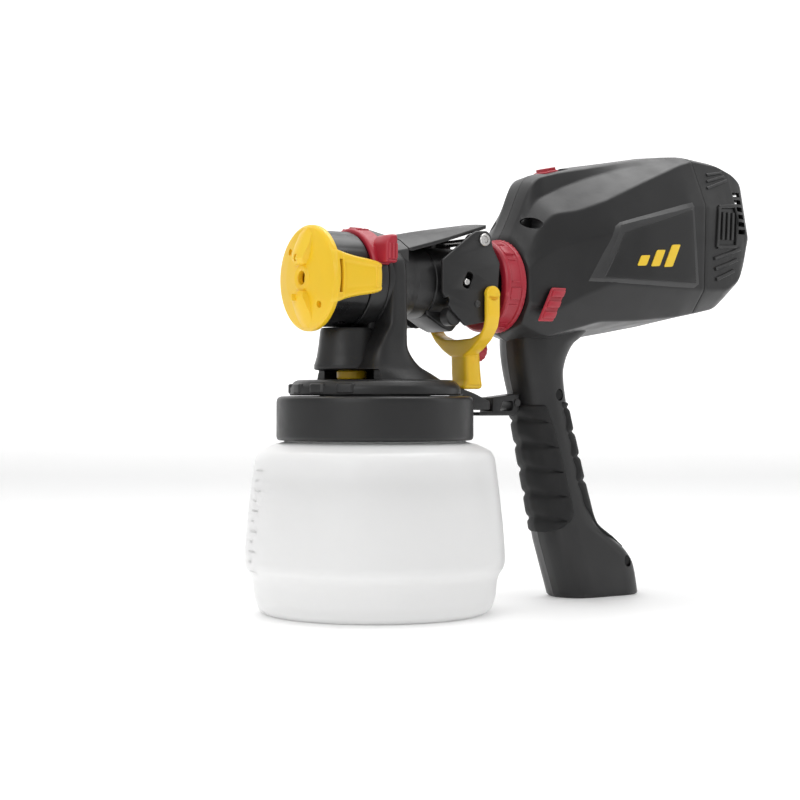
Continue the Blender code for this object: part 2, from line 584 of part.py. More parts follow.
def spray_head():
    """Nozzle, its nut, the air cap in front and the ring that sets the width of the spray."""
    centre = (0, 0, BARREL_Z)
    nut = ((13, NUT_REAR), (NUT_RADIUS, NUT_REAR), (NUT_RADIUS, NUT_FRONT), (15, NUT_FRONT), (15, -36), (13, -36))
    piece("union_nut", turned(nut, "X", centre, closed=True), "charcoal")
    nozzle = ((2.2, -43), (3.2, -43), (8.5, -36.5), (12, -36.5), (12, -19), (5, -19), (5, -34), (2.2, -36))
    piece("nozzle", turned(nozzle, "X", centre, closed=True), "yellow")
    piece("needle_seal", ring(2.2, 5, -15, -7, "X", centre, SMALL_STEPS), "rubber")
    cap = (
        (3.0, CAP_FRONT), (25, CAP_FRONT), (CAP_RADIUS, CAP_FRONT + 1.8), (CAP_RADIUS, -39.9),
        (14, -39.9), (14, -37.5), (10.5, -37.5), (5.2, -42.6), (3.0, -43.8),
    )
    made = piece("air_cap", turned(cap, "X", centre, closed=True), "yellow", (CAP_FRONT, 0, BARREL_Z))
    for side in (-1, 1):
        horn = plate([(CAP_FRONT + 1, -4.5), (CAP_FRONT - 4, -3), (CAP_FRONT - 4, 5), (CAP_FRONT + 1, 11)], -4, 4)
        bmesh.ops.rotate(horn, matrix=Matrix.Rotation(math.radians(90 - side * 90), 3, "X"), verts=horn.verts)
        bmesh.ops.translate(horn, vec=(0, 0, BARREL_Z + side * 12), verts=horn.verts)
        join(made, horn)
    tab = loft([
        [(-42, -25.2, BARREL_Z - 12.5), (-42, -28.6, BARREL_Z - 12.5), (-42, -28.6, BARREL_Z + 12.5),
         (-42, -25.2, BARREL_Z + 12.5)],
        [(-38.6, -26.2, BARREL_Z - 12.3), (-38.6, -28.6, BARREL_Z - 12.3), (-38.6, -28.6, BARREL_Z + 12.3),
         (-38.6, -26.2, BARREL_Z + 12.3)],
        [(-15.5, -29.2, BARREL_Z - 7.3), (-15.5, -31.4, BARREL_Z - 7.3), (-15.5, -31.4, BARREL_Z + 7.3),
         (-15.5, -29.2, BARREL_Z + 7.3)],
    ])
    join(made, tab)
    width_ring = (
        (BARREL_RADIUS + 0.4, WIDTH_RING_FRONT + 0.3), (WIDTH_RING_RADIUS - 2.2, WIDTH_RING_FRONT + 0.3),
        (WIDTH_RING_RADIUS - 1, -16.5), (WIDTH_RING_RADIUS - 1, WIDTH_RING_REAR - 1.5),
        (WIDTH_RING_RADIUS - 2, WIDTH_RING_REAR), (BARREL_RADIUS + 0.4, WIDTH_RING_REAR),
    )
    made = piece("spray_width_ring", turned(width_ring, "X", centre, closed=True), "red", (-18, 0, BARREL_Z))
    lever = box(-14.9, -8.0, -33.5, -20, BARREL_Z + 8.2, BARREL_Z + 22.6)
    join(made, lever)


def needle():
    """The needle with its crosshead, the spring behind it and the cap that holds the spring."""
    origin = (PEG_X, 0, BARREL_Z)
    made = piece("needle", rod((-43.8, 0, BARREL_Z), (47.5, 0, BARREL_Z), 1.7, 16), "steel", origin)
    join(made, rod((PEG_X - 4, 0, BARREL_Z), (PEG_X + 3.5, 0, BARREL_Z), 10),
         rod((PEG_X, -24.2, BARREL_Z), (PEG_X, 24.2, BARREL_Z), PEG_RADIUS, 16))
    piece("needle_spring", ring(4, 6.5, PEG_X + 3.8, 62.2, "X", (0, 0, BARREL_Z), SMALL_STEPS), "steel", origin)
    cap = ((2.5, 62.5), (BARREL_BORE - GAP, 62.5), (BARREL_BORE - GAP, 65.7), (2.5, 65.7))
    piece("spring_cap", turned(cap, "X", (0, 0, BARREL_Z), closed=True), "charcoal")


def trigger():
    """Two cheek plates and the lever, all on one pin, and the flow knob behind the lever."""
    pivot = (PIVOT_X, 0, PIVOT_Z)
    outline = [
        (27.4, 189.3), (47.5, 204.2), (50.5, 206), (57.7, 206.3), (60.2, 204), (61.8, 197), (66.6, 189),
        (65.2, 174.5), (61, 157.5), (43, 154), (39.6, 156.7), (34, 161.5), (27.4, 171.5),
    ]
    slot_angle = math.degrees(math.atan2(PIVOT_X - PEG_X, PIVOT_Z - BARREL_Z))
    for name, side in (("cheek_left", -1), ("cheek_right", 1)):
        y0, y1 = sorted((side * CHEEK_INNER, side * CHEEK_OUTER))
        cheek = piece(name, plate(outline, y0, y1), "charcoal", pivot)
        slot = box(PEG_X - 2.3, PEG_X + 2.3, -30, 30, BARREL_Z - 3.5, BARREL_Z + 5.5)
        cut(cheek, tilted(slot, slot_angle, (PEG_X, 0, BARREL_Z)))
        cut(cheek, rod((PIVOT_X, -30, PIVOT_Z), (PIVOT_X, 30, PIVOT_Z), 2.0 + GAP))
    grip_line = [(61.7, 146), (61.2, 140), (61.4, 130), (62.4, LEVER_BOTTOM)]
    lever = piece("trigger_lever", swept_plate(grip_line, 5.4, -7, 7), "yellow", pivot)
    inner, outer = CHEEK_OUTER + GAP, 28.2
    half = [(outer, 172), (outer, 158), (24, 149), (14, 143), (5, 138)]
    back = [(0, 147.5), (12, 148), (20.5, 150.5), (inner, 155), (inner, 172)]
    yoke = plate(half + [(-y, z) for y, z in half[::-1]] + [(-y, z) for y, z in back[:0:-1]] + back, -4.6, 4.6)
    bmesh.ops.rotate(yoke, matrix=Matrix.Rotation(math.radians(90), 3, "Z"), verts=yoke.verts)
    bmesh.ops.translate(yoke, vec=(59.2, 0, 0), verts=yoke.verts)
    join(lever, yoke)
    knob = cone((67.2, 0, 142), (72.5, 0, 142), 5, 6)
    piece("flow_knob", knob, "red", (67.2, 0, 142))


def roof_cover():
    """The sloped plate over the trigger's upper end."""
    rings = []
    for x, crest, edge in ((10, 203, 195), (28, 206.5, 200.2), (60, 211.5, 210)):
        top = [(x, -20, edge), (x, 0, crest), (x, 20, edge)]
        rings.append(top + [(x, y, z - 1.8) for _, y, z in top[::-1]])
    piece("roof_cover", loft(rings), "charcoal", smooth=False)


clear_scene()
PARTS = new_collection(OBJECT_NAME)
CUTTERS = new_collection("cutters")
power_unit()
attachment()
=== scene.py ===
"""Looks for the turbine paint sprayer. Sizes are in millimetres and turned into metres when a mesh is made."""

import math

import bmesh
import bpy
import numpy as np
from mathutils import Matrix, Vector


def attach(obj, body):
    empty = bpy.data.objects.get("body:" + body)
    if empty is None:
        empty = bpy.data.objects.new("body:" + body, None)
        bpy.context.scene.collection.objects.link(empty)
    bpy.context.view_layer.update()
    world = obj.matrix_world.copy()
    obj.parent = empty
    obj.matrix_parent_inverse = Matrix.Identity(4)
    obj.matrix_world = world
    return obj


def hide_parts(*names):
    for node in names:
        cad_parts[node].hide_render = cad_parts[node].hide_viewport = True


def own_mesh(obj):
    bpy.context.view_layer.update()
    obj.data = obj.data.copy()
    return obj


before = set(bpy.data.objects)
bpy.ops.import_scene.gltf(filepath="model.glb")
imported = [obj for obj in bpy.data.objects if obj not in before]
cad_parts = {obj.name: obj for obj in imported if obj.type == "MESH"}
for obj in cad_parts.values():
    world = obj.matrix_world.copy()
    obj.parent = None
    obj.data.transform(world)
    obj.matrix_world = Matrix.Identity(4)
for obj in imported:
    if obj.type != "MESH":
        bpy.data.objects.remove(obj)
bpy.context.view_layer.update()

MM = 0.001
AXIS_Z = 178.0
SPLIT = 0.15
PIVOT = (55.3, 0, 201.2)
PEG_X = 44.3
SUCTION = (-18, 0, 0)
SLIDER_PLACE, SLIDER_TILT = (121, 0, 245), -12
SWITCH_Z, SWITCH_LEAN = 167, 0.52
SHELL_WALL = 2.5
SCREW_HOLES = ((94.0, 213.0), (116.5, 117.0), (168.0, 20.0))
CABLE_PLACE = (0, 0, 8)
VIEW_TURN = math.radians(35)
SCENE = bpy.context.scene

# The backdrop's glow at the floor and up the wall, the sky, and each soft light: name, place, size, power
FLOOR_GLOW = 0.12
WALL_GLOW = 0.6
WORLD_LIGHT = 0.5
SOFTBOXES = (
    ("top_box", (0.15, 0.15, 1.1), (1.1, 0.9), 9.0),
    ("left_box", (-1.0, -0.5, 0.75), (0.7, 0.9), 3.4),
    ("right_box", (1.0, -0.7, 0.6), (0.5, 0.9), 1.4),
)

# The housing's half sections: X, then (half width, height) from the top centre round to the bottom centre
HOUSING = (
    (84.6, ((0, 205), (9, 203.5), (15, 200), (22, 193), (27, 186), (27, 168), (20, 156.5), (0, 150))),
    (92.0, ((0, 219), (9, 218), (14, 214), (23, 206.5), (28, 193), (28, 166), (21, 153), (0, 146))),
    (99.0, ((0, 235), (10, 234.5), (13.5, 226), (25, 214), (29.5, 197), (28.5, 165), (22, 150), (0, 144))),
    (103.5, ((0, 241.5), (11.5, 240), (14, 228.5), (26.5, 218), (30.5, 199), (29, 164), (23, 150), (0, 143))),
    (118.0, ((0, 245.5), (12, 243.8), (14.5, 235), (30.5, 220.5), (35, 203), (34, 172), (26, 154), (0, 146))),
    (134.0, ((0, 248.8), (12.5, 247), (15.5, 240.5), (34, 226.5), (41, 208), (40, 179), (30, 158.5), (0, 149))),
    (160.0, ((0, 253.2), (14, 252), (17.5, 248), (35, 238), (43.5, 216), (43, 178.5), (33, 159.5), (0, 153))),
    (190.0, ((0, 258.5), (20, 257), (24.5, 255), (34.5, 250.5), (45.5, 226), (44.5, 178), (34.5, 162.5), (0, 158))),
    (201.7, ((0, 259), (22, 257.8), (27.5, 256.5), (34, 254), (46, 227), (44.5, 178), (34, 164.5), (0, 161))),
)
COVER = (
    (202.0, ((0, 259), (22, 257.8), (27.5, 256.5), (34, 254), (46, 227), (44.5, 178), (34, 164.5), (0, 161))),
    (221.0, ((0, 256.5), (22, 255.8), (28.5, 254.5), (35.5, 252), (45.8, 225), (44, 178.5), (32, 168), (0, 165))),
    (233.0, ((0, 251.5), (22, 251), (29, 250), (36.5, 247.5), (44.5, 219), (42, 185), (30, 176), (0, 174))),
    (240.0, ((0, 246.5), (21, 246), (28, 245), (36, 242.5), (42.3, 210), (39, 197), (28, 188), (0, 186))),
    (245.0, ((0, 238), (18, 237.5), (24, 236), (31, 232), (36.5, 210), (34, 203), (24, 197), (0, 195))),
)

# The handle's sections: height, front X, rear X, half width
HANDLE = (
    (0.0, 125.4, 182.6, 17.0), (18.0, 119.3, 178.5, 17.0), (26.0, 116.6, 172.8, 16.8), (34.0, 113.9, 162.0, 16.6),
    (43.5, 111.7, 149.2, 16.3), (57.0, 108.8, 144.0, 16.2), (85.0, 102.5, 135.6, 16.0), (113.0, 96.3, 128.0, 16.0),
    (130.0, 92.0, 125.6, 16.5), (136.0, 91.0, 126.8, 16.8), (142.0, 90.3, 129.5, 17.0), (147.0, 90.0, 133.5, 17.0),
    (151.0, 90.0, 140.0, 17.0), (160.0, 92.0, 150.0, 16.0),
)


# Numbers and outlines

def through(places, rows, at):
    """Smooth values at new places, through the rows, with no overshoot."""
    places, rows = np.array(places, float), np.array(rows, float)
    rows = rows.reshape(len(places), -1)
    step = np.diff(places)[:, None]
    slope = np.diff(rows, axis=0) / step
    tangent = np.zeros_like(rows)
    near, far = 2 * step[1:] + step[:-1], step[1:] + 2 * step[:-1]
    with np.errstate(divide="ignore", invalid="ignore"):
        mean = (near + far) / (near / slope[:-1] + far / slope[1:])
    tangent[1:-1] = np.where(slope[:-1] * slope[1:] > 0, mean, 0)
    tangent[0], tangent[-1] = slope[0], slope[-1]
    out = []
    for place in np.atleast_1d(at):
        i = int(np.clip(np.searchsorted(places, place) - 1, 0, len(places) - 2))
        wide = places[i + 1] - places[i]
        t = (place - places[i]) / wide
        out.append((1 + 2 * t) * (1 - t) ** 2 * rows[i] + t * (1 - t) ** 2 * wide * tangent[i]
                   + t * t * (3 - 2 * t) * rows[i + 1] + t * t * (t - 1) * wide * tangent[i + 1])
    return np.array(out)


def rounded(points, radius, count=4, closed=True):
    """The outline with each corner turned into a small curve."""
    out, last = [], len(points) - 1
    for i, point in enumerate(points):
        if not closed and i in (0, last):
            out.append(tuple(point))
            continue
        here = Vector(point)
        before, after = Vector(points[i - 1]) - here, Vector(points[(i + 1) % len(points)]) - here
        reach = min(radius, before.length * 0.48, after.length * 0.48)
        start, end = here + before.normalized() * reach, here + after.normalized() * reach
        for k in range(count + 1):
            t = k / count
            out.append(tuple(start * (1 - t) ** 2 + here * (2 * t * (1 - t)) + end * t * t))
    return out


def circle(centre, radius, count=32, start=0.0, end=360.0):
    whole = abs(end - start) >= 360
    turns = [math.radians(start + (end - start) * i / (count if whole else count - 1)) for i in range(count)]
    return [(centre[0] + radius * math.cos(a), centre[1] + radius * math.sin(a)) for a in turns]


def along(points, half_width):
    """The outline of a band of even width round a line."""
    left, right = [], []
    for i, point in enumerate(points):
        ahead = Vector(points[min(i + 1, len(points) - 1)]) - Vector(points[max(i - 1, 0)])
        across = Vector((-ahead.y, ahead.x)).normalized() * half_width
        left.append(tuple(Vector(point) + across))
        right.append(tuple(Vector(point) - across))
    return left + right[::-1]


# Shapes: each is (points in millimetres, faces)

def merge(*shapes):
    points, faces = [], []
    for more, its_faces in shapes:
        base = len(points)
        points.extend(tuple(p) for p in more)
        faces.extend(tuple(base + i for i in face) for face in its_faces)
    return points, faces


def moved(shape, matrix):
    return [tuple(matrix @ Vector(p)) for p in shape[0]], shape[1]


def shifted(shape, x=0.0, y=0.0, z=0.0):
    return moved(shape, Matrix.Translation((x, y, z)))


def mirrored(shape):
    return [(x, -y, z) for x, y, z in shape[0]], shape[1]


def turned_about(shape, degrees, centre, axis="X"):
    move = Matrix.Translation(centre) @ Matrix.Rotation(math.radians(degrees), 4, axis)
    return moved(shape, move @ Matrix.Translation(-Vector(centre)))


def loft(rings, caps=True, closed=False):
    count = len(rings[0])
    points = [tuple(p) for ring in rings for p in ring]
    faces = []
    for level in range(len(rings) - (0 if closed else 1)):
        low, high = level * count, ((level + 1) % len(rings)) * count
        for i in range(count):
            j = (i + 1) % count
            faces.append((low + i, low + j, high + j, high + i))
    if caps and not closed:
        faces.append(tuple(range(count))[::-1])
        faces.append(tuple(range((len(rings) - 1) * count, len(rings) * count)))
    return points, faces


def turned(profile, axis="X", centre=(0, 0, AXIS_Z), steps=96, closed=True, round_by=0.0, flute=None):
    """A turned shape from (radius, distance) points. flute(angle, distance) adds to the radius."""
    if round_by:
        profile = rounded(profile, round_by, 4, closed)
    rings = []
    for radius, distance in profile:
        ring = []
        for i in range(steps):
            a = 2 * math.pi * i / steps
            r = radius + (flute(a, distance) if flute and radius > 1 else 0)
            if axis == "X":
                ring.append((centre[0] + distance, centre[1] + r * math.cos(a), centre[2] + r * math.sin(a)))
            elif axis == "Z":
                ring.append((centre[0] + r * math.cos(a), centre[1] + r * math.sin(a), centre[2] + distance))
            else:
                ring.append((centre[0] + r * math.cos(a), centre[1] + distance, centre[2] + r * math.sin(a)))
        rings.append(ring)
    open_ends = not closed and profile[0][0] > 0.01
    return loft(rings, caps=open_ends, closed=closed)


def plate(outline, low, high, normal="Y", holes=(), bevel=0.6):
    """A flat outline with holes and rounded edges. Its plane is XZ, YZ or XY, by the normal."""
    bevel = min(bevel, (high - low) * 0.45)
    curve = bpy.data.curves.new("outline", "CURVE")
    curve.dimensions, curve.fill_mode = "2D", "BOTH"
    curve.extrude = (high - low) / 2 - bevel
    curve.bevel_depth, curve.bevel_resolution, curve.offset = bevel, 2, -bevel
    for points in (outline, *holes):
        spline = curve.splines.new("POLY")
        spline.points.add(len(points) - 1)
        for place, (a, b) in zip(spline.points, points):
            place.co = (a, b, 0, 1)
        spline.use_cyclic_u = True
    holder = bpy.data.objects.new("outline", curve)
    SCENE.collection.objects.link(holder)
    mesh = bpy.data.meshes.new_from_object(holder.evaluated_get(bpy.context.evaluated_depsgraph_get()))
    middle = (low + high) / 2
    points = []
    for vertex in mesh.vertices:
        a, b, c = vertex.co
        points.append({"Y": (a, middle + c, b), "X": (middle + c, a, b), "Z": (a, b, middle + c)}[normal])
    faces = [tuple(p.vertices) for p in mesh.polygons]
    bpy.data.objects.remove(holder, do_unlink=True)
    bpy.data.meshes.remove(mesh)
    return points, faces


def box(x0, x1, y0, y1, z0, z1, bevel=0.5):
    corners = [(x0, z0), (x1, z0), (x1, z1), (x0, z1)]
    return plate(rounded(corners, bevel * 1.5, 3), y0, y1, "Y", bevel=bevel)


def tube(path, radius, around=12):
    """A round wire along a path of 3-D points, with closed ends."""
    rings, side = [], None
    for i, point in enumerate(path):
        here = Vector(point)
        ahead = (Vector(path[min(i + 1, len(path) - 1)]) - Vector(path[max(i - 1, 0)])).normalized()
        side = ahead.orthogonal().normalized() if side is None else (side - ahead * side.dot(ahead)).normalized()
        up = ahead.cross(side)
        rings.append([tuple(here + side * (radius * math.cos(t)) + up * (radius * math.sin(t)))
                      for t in (2 * math.pi * k / around for k in range(around))])
    return loft(rings)


def skin(outer, inner):
    """A closed shell between two grids of points that have the same rows and columns."""
    rows, columns = len(outer), len(outer[0])
    points = [tuple(p) for row in outer for p in row] + [tuple(p) for row in inner for p in row]
    back = rows * columns
    faces = []
    for r in range(rows - 1):
        for c in range(columns - 1):
            a, b, d, e = r * columns + c, r * columns + c + 1, (r + 1) * columns + c + 1, (r + 1) * columns + c
            faces.append((a, b, d, e))
            faces.append((back + a, back + e, back + d, back + b))
    rim = [c for c in range(columns)] + [r * columns + columns - 1 for r in range(1, rows)]
    rim += [(rows - 1) * columns + c for c in range(columns - 2, -1, -1)]
    rim += [r * columns for r in range(rows - 2, 0, -1)]
    for a, b in zip(rim, rim[1:] + rim[:1]):
        faces.append((a, back + a, back + b, b))
    return points, faces


# Objects

def mesh_object(name, shape, triangles=False):
    mesh = bpy.data.meshes.new(name)
    mesh.from_pydata([(x * MM, y * MM, z * MM) for x, y, z in shape[0]], [], shape[1])
    work = bmesh.new()
    work.from_mesh(mesh)
    bmesh.ops.remove_doubles(work, verts=work.verts, dist=2e-6)
    bmesh.ops.dissolve_degenerate(work, edges=work.edges, dist=1e-7)
    if triangles:
        bmesh.ops.triangulate(work, faces=work.faces)
    bmesh.ops.recalc_face_normals(work, faces=work.faces)
    work.to_mesh(mesh)
    work.free()
    obj = bpy.data.objects.new(name, mesh)
    SCENE.collection.objects.link(obj)
    return obj


def cut(obj, shapes):
    for shape in shapes:
        tool = mesh_object("tool", shape, triangles=True)
        modifier = obj.modifiers.new("cut", "BOOLEAN")
        modifier.operation, modifier.solver, modifier.object = "DIFFERENCE", "EXACT", tool
        made = bpy.data.meshes.new_from_object(obj.evaluated_get(bpy.context.evaluated_depsgraph_get()))
        obj.modifiers.clear()
        bpy.data.objects.remove(tool, do_unlink=True)
        # A Boolean that failed leaves next to nothing, so its result is not taken.
        if len(made.polygons) > 8:
            obj.data = made


def piece(name, shape, look, body, nodes=(), cuts=(), sharp=30):
    """A finished piece: its mesh, its look, the body it rides on and the CAD nodes it stands for."""
    obj = mesh_object(name, shape, triangles=bool(cuts))
    cut(obj, cuts)
    obj.data.shade_smooth()
    obj.data.set_sharp_from_angle(angle=math.radians(sharp))
    obj.data.materials.clear()
    obj.data.materials.append(LOOKS[look])
    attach(obj, body)
    if nodes:
        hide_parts(*nodes)
    return obj


# Materials

def node(tree, kind, **settings):
    made = tree.nodes.new(kind)
    for name, value in settings.items():
        setattr(made, name, value)
    return made


def noise(tree, scale, detail=3.0, stretch=None):
    place = node(tree, "ShaderNodeTexCoord")
    texture = node(tree, "ShaderNodeTexNoise")
    texture.inputs["Scale"].default_value = scale
    texture.inputs["Detail"].default_value = detail
    source = place.outputs["Object"]
    if stretch:
        mapping = node(tree, "ShaderNodeMapping")
        mapping.inputs["Scale"].default_value = stretch
        tree.links.new(source, mapping.inputs["Vector"])
        source = mapping.outputs["Vector"]
    tree.links.new(source, texture.inputs["Vector"])
    return texture.outputs["Fac"]


def between(tree, value, low, high, start=0.3, end=0.7):
    ramp = node(tree, "ShaderNodeMapRange")
    for name, number in (("From Min", start), ("From Max", end), ("To Min", low), ("To Max", high)):
        ramp.inputs[name].default_value = number
    tree.links.new(value, ramp.inputs["Value"])
    return ramp.outputs["Result"]


def mixed(tree, factor, first, second):
    mix = node(tree, "ShaderNodeMix", data_type="RGBA")
    tree.links.new(factor, mix.inputs["Factor"])
    for socket, value in ((mix.inputs[6], first), (mix.inputs[7], second)):
        if isinstance(value, tuple):
            socket.default_value = (*value, 1)
        else:
            tree.links.new(value, socket)
    return mix.outputs[2]


def look(name, colour, rough, grain=1400.0, bump=0.25, vary=0.08, edge_highlight=0.0, edge_highlight_colour=(0.2, 0.2, 0.2),
         stretch=None, **values):
    """A moulded or metal surface: cloudy colour, uneven roughness, a fine grain and paler convex edges, a painted
    highlight.
    """
    made = bpy.data.materials.new(name)
    made.use_nodes = True
    tree = made.node_tree
    shader = tree.nodes["Principled BSDF"]
    dark, light = tuple(c * (1 - vary) for c in colour), tuple(min(1, c * (1 + vary)) for c in colour)
    tint = mixed(tree, between(tree, noise(tree, 28), 0, 1), dark, light)
    # Convex edges are painted towards a paler colour: a painted highlight where rounded edges catch the light.
    if edge_highlight:
        edge = between(tree, node(tree, "ShaderNodeNewGeometry").outputs["Pointiness"], 0, edge_highlight, 0.52, 0.62)
        tint = mixed(tree, edge, tint, edge_highlight_colour)
    tree.links.new(tint, shader.inputs["Base Color"])
    uneven = between(tree, noise(tree, 90, 4), max(0.05, rough - 0.06), rough + 0.08)
    tree.links.new(uneven, shader.inputs["Roughness"])
    relief = node(tree, "ShaderNodeBump")
    relief.inputs["Strength"].default_value = bump
    relief.inputs["Distance"].default_value = 0.0001
    tree.links.new(noise(tree, grain, 2, stretch), relief.inputs["Height"])
    tree.links.new(relief.outputs["Normal"], shader.inputs["Normal"])
    for socket, value in values.items():
        shader.inputs[socket.replace("_", " ")].default_value = value
    return made


# Each look's paler edge colour and its strength paint highlights on convex edges.
LOOKS = {
    "charcoal": look("charcoal_moulded", (0.012, 0.012, 0.0125), 0.38, edge_highlight=0.5, edge_highlight_colour=(0.07, 0.07, 0.07)),
    # The border look is the charcoal painted paler: a painted highlight for light on the sloping border.
    "border": look("charcoal_painted_highlight", (0.034, 0.034, 0.035), 0.38, edge_highlight=0.4, edge_highlight_colour=(0.09, 0.09, 0.09)),
    "black_steel": look("blackened_steel", (0.03, 0.03, 0.03), 0.4, grain=900.0, bump=0.1, Metallic=1.0),
    "panel": look("charcoal_fine", (0.009, 0.009, 0.0095), 0.34, grain=2200.0, bump=0.15, edge_highlight=0.4,
                  edge_highlight_colour=(0.05, 0.05, 0.05)),
    "gloss": look("charcoal_gloss", (0.006, 0.006, 0.0065), 0.3, grain=700.0, bump=0.05, edge_highlight=0.3,
                  edge_highlight_colour=(0.04, 0.04, 0.04)),
    "grip": look("soft_grip_rubber", (0.011, 0.011, 0.0115), 0.62, grain=900.0, bump=0.45, Specular_IOR_Level=0.35),
    "yellow": look("yellow_moulded", (0.92, 0.58, 0.018), 0.34, grain=1100.0, bump=0.1, vary=0.04, edge_highlight=0.3,
                   edge_highlight_colour=(0.95, 0.72, 0.1), Subsurface_Weight=0.08, Subsurface_Scale=0.002),
    "red": look("red_moulded", (0.40, 0.016, 0.034), 0.34, grain=1100.0, bump=0.12, edge_highlight=0.4,
                edge_highlight_colour=(0.65, 0.1, 0.12)),
    "milky": look("milky_polyethylene", (0.95, 0.95, 0.945), 0.36, grain=420.0, bump=0.12, vary=0.015,
                  Subsurface_Weight=0.5, Subsurface_Scale=0.01, Subsurface_Radius=(0.8, 0.8, 0.8)),
    "steel": look("bright_steel", (0.62, 0.61, 0.6), 0.24, grain=900.0, bump=0.12, stretch=(0.05, 1, 1),
                  Metallic=1.0),
    "rubber": look("black_rubber", (0.012, 0.012, 0.012), 0.7, grain=800.0, bump=0.3),
    "foam": look("filter_foam", (0.08, 0.08, 0.09), 0.9, grain=600.0, bump=1.0, vary=0.5),
    "board": look("circuit_green", (0.02, 0.16, 0.06), 0.4, grain=500.0, bump=0.3, vary=0.3),
}
CAD_LOOKS = {
    "charcoal": ("turbine_casing", "switch_block", "spring_cap"),
    "rubber": ("duct_seal", "coupling_seal", "lid_gasket", "needle_seal"),
    "steel": ("motor_can", "turbine_fan", "motor_shaft"),
    "black_steel": ("housing_screw_1", "housing_screw_2", "housing_screw_3"),
    "foam": ("air_filter",), "board": ("circuit_board",), "milky": ("riser_tube",),
}
for look_name, names in CAD_LOOKS.items():
    for name in names:
        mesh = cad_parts[name].data
        mesh.materials.clear()
        mesh.materials.append(LOOKS[look_name])
        mesh.shade_smooth()
        mesh.set_sharp_from_angle(angle=math.radians(35))


# Housing

def section(table, x, inset=0.0):
    """The half section at X as (half width, height) points, drawn in by the inset."""
    flat = np.array([[c for pair in half for c in pair] for _, half in table], float)
    places = [row[0] for row in table]
    near = np.clip(np.linspace(x - 2.5, x + 2.5, 7), places[0], places[-1])
    half = np.array([np.interp(near, places, column).mean() for column in flat.T]).reshape(-1, 2)
    middle, tall = (half[:, 1].max() + half[:, 1].min()) / 2, np.ptp(half[:, 1]) / 2
    out = half.copy()
    out[:, 0] *= 1 - inset / half[:, 0].max()
    out[:, 1] = middle + (half[:, 1] - middle) * (1 - inset / tall)
    return [tuple(p) for p in out]


def side_y(x, z, table=HOUSING):
    """How far the housing's side stands from the middle at X and Z."""
    half = np.array(section(table, x))
    return float(np.interp(-z, -half[:, 1], half[:, 0]))


def split_ring(x, half, side, radius=1.5):
    soft = rounded(half, radius, 4, closed=False)
    return [(x, side * max(y, SPLIT), z) for y, z in soft]


def whole_ring(x, half, radius=1.5):
    soft = rounded(half, radius, 4, closed=False)
    return [(x, y, z) for y, z in soft] + [(x, -y, z) for y, z in soft[-2:0:-1]]


HANDLE_LEVELS = [row[0] for row in HANDLE]


def handle_half(z, grow=0.0):
    """The handle's half outline at a height, as (X, half width) points from front to rear."""
    front, rear, wide = through(HANDLE_LEVELS, [row[1:] for row in HANDLE], z)[0]
    front, rear, wide = front - grow, rear + grow, wide + grow
    half = ((front, 0), (front + 1.5, 0.45 * wide), (front + 6, 0.85 * wide), (front + 14, wide),
            (rear - 12, wide), (rear - 4, 0.8 * wide), (rear - 0.8, 0.4 * wide), (rear, 0))
    return rounded(half, 5, 4, closed=False)


def housing():
    """Both half shells of the housing and handle, with their holes."""
    inner = [whole_ring(x, section(HOUSING, x, SHELL_WALL)) for x in np.linspace(118, 201.7, 22)]
    inner.append([(203.5, y, z) for _, y, z in inner[-1]])
    slot = turned_about(box(112, 130, -7.5, 7.5, 241.6, 257), SLIDER_TILT, SLIDER_PLACE, "Y")
    places = [84.6, 84.9, *np.linspace(86, 200.6, 76), 201.3, 201.7]
    insets = [1.3, 0.5] + [0.0] * 76 + [0.15, 0.7]
    for side, name in ((-1, "left"), (1, "right")):
        rings = [split_ring(x, section(HOUSING, x, inset), side) for x, inset in zip(places, insets)]
        holes = [turned(((0, 80), (22.3, 80), (22.3, 119), (0, 119)), closed=False, steps=64), loft(inner), slot]
        for x, z in SCREW_HOLES:
            hole = turned(((0, 10.5), (3.4, 10.5), (3.4, 60), (0, 60)), "Y", (x, 0, z), 32, closed=False)
            holes.append(hole if side > 0 else mirrored(hole))
        piece(f"housing_shell_{name}", loft(rings), "charcoal", "power_unit", (f"housing_{name}",), holes)
        levels = [0.0, 0.5, 1.4, *np.arange(3, 160.5, 2.25)]
        grows = [-1.4, -0.5] + [0.0] * (len(levels) - 2)
        rings = [[(x, side * max(y, SPLIT), z) for x, y in handle_half(z, grow)] for z, grow in zip(levels, grows)]
        inlet = turned(((0, 172), (5.8, 172), (5.8, 192), (0, 192)), "X", CABLE_PLACE, 32, closed=False)
        piece(f"handle_shell_{name}", loft(rings), "charcoal", "power_unit", (f"housing_{name}",),
              [inlet, *holes[4:]])
        panel(side, name)
    mark()
    gland = turned(((3.2, 175.5), (5.5, 175.5), (5.5, 181.5), (3.2, 181.5)), "X", CABLE_PLACE, 48,
                   round_by=0.8)
    piece("cable_inlet_sleeve", gland, "rubber", "power_unit", ("cable_gland",))
    duct = turned(((20, 84.8), (22, 84.8), (22, 122), (20, 122)), round_by=0.5)
    piece("duct_tube", duct, "panel", "power_unit", ("outlet_duct",))


def side_patch(corners, side, high, low, border, steps=16):
    """A closed plate on the housing's side inside four corners. The border runs down to the side over that share."""
    shares = [0, border, *np.linspace(border, 1 - border, steps)[1:-1], 1 - border, 1]
    outer, inner = [], []
    for t in shares:
        outer_row, inner_row = [], []
        for s in shares:
            a, b, d, e = corners
            x = (a[0] * (1 - s) + e[0] * s) * (1 - t) + (b[0] * (1 - s) + d[0] * s) * t
            z = (a[1] * (1 - s) + e[1] * s) * (1 - t) + (b[1] * (1 - s) + d[1] * s) * t
            y = side_y(x, z)
            outer_row.append((x, side * (y + (low if t in (0, 1) or s in (0, 1) else high)), z))
            inner_row.append((x, side * (y - 1.6), z))
        outer.append(outer_row)
        inner.append(inner_row)
    return skin(outer, inner)


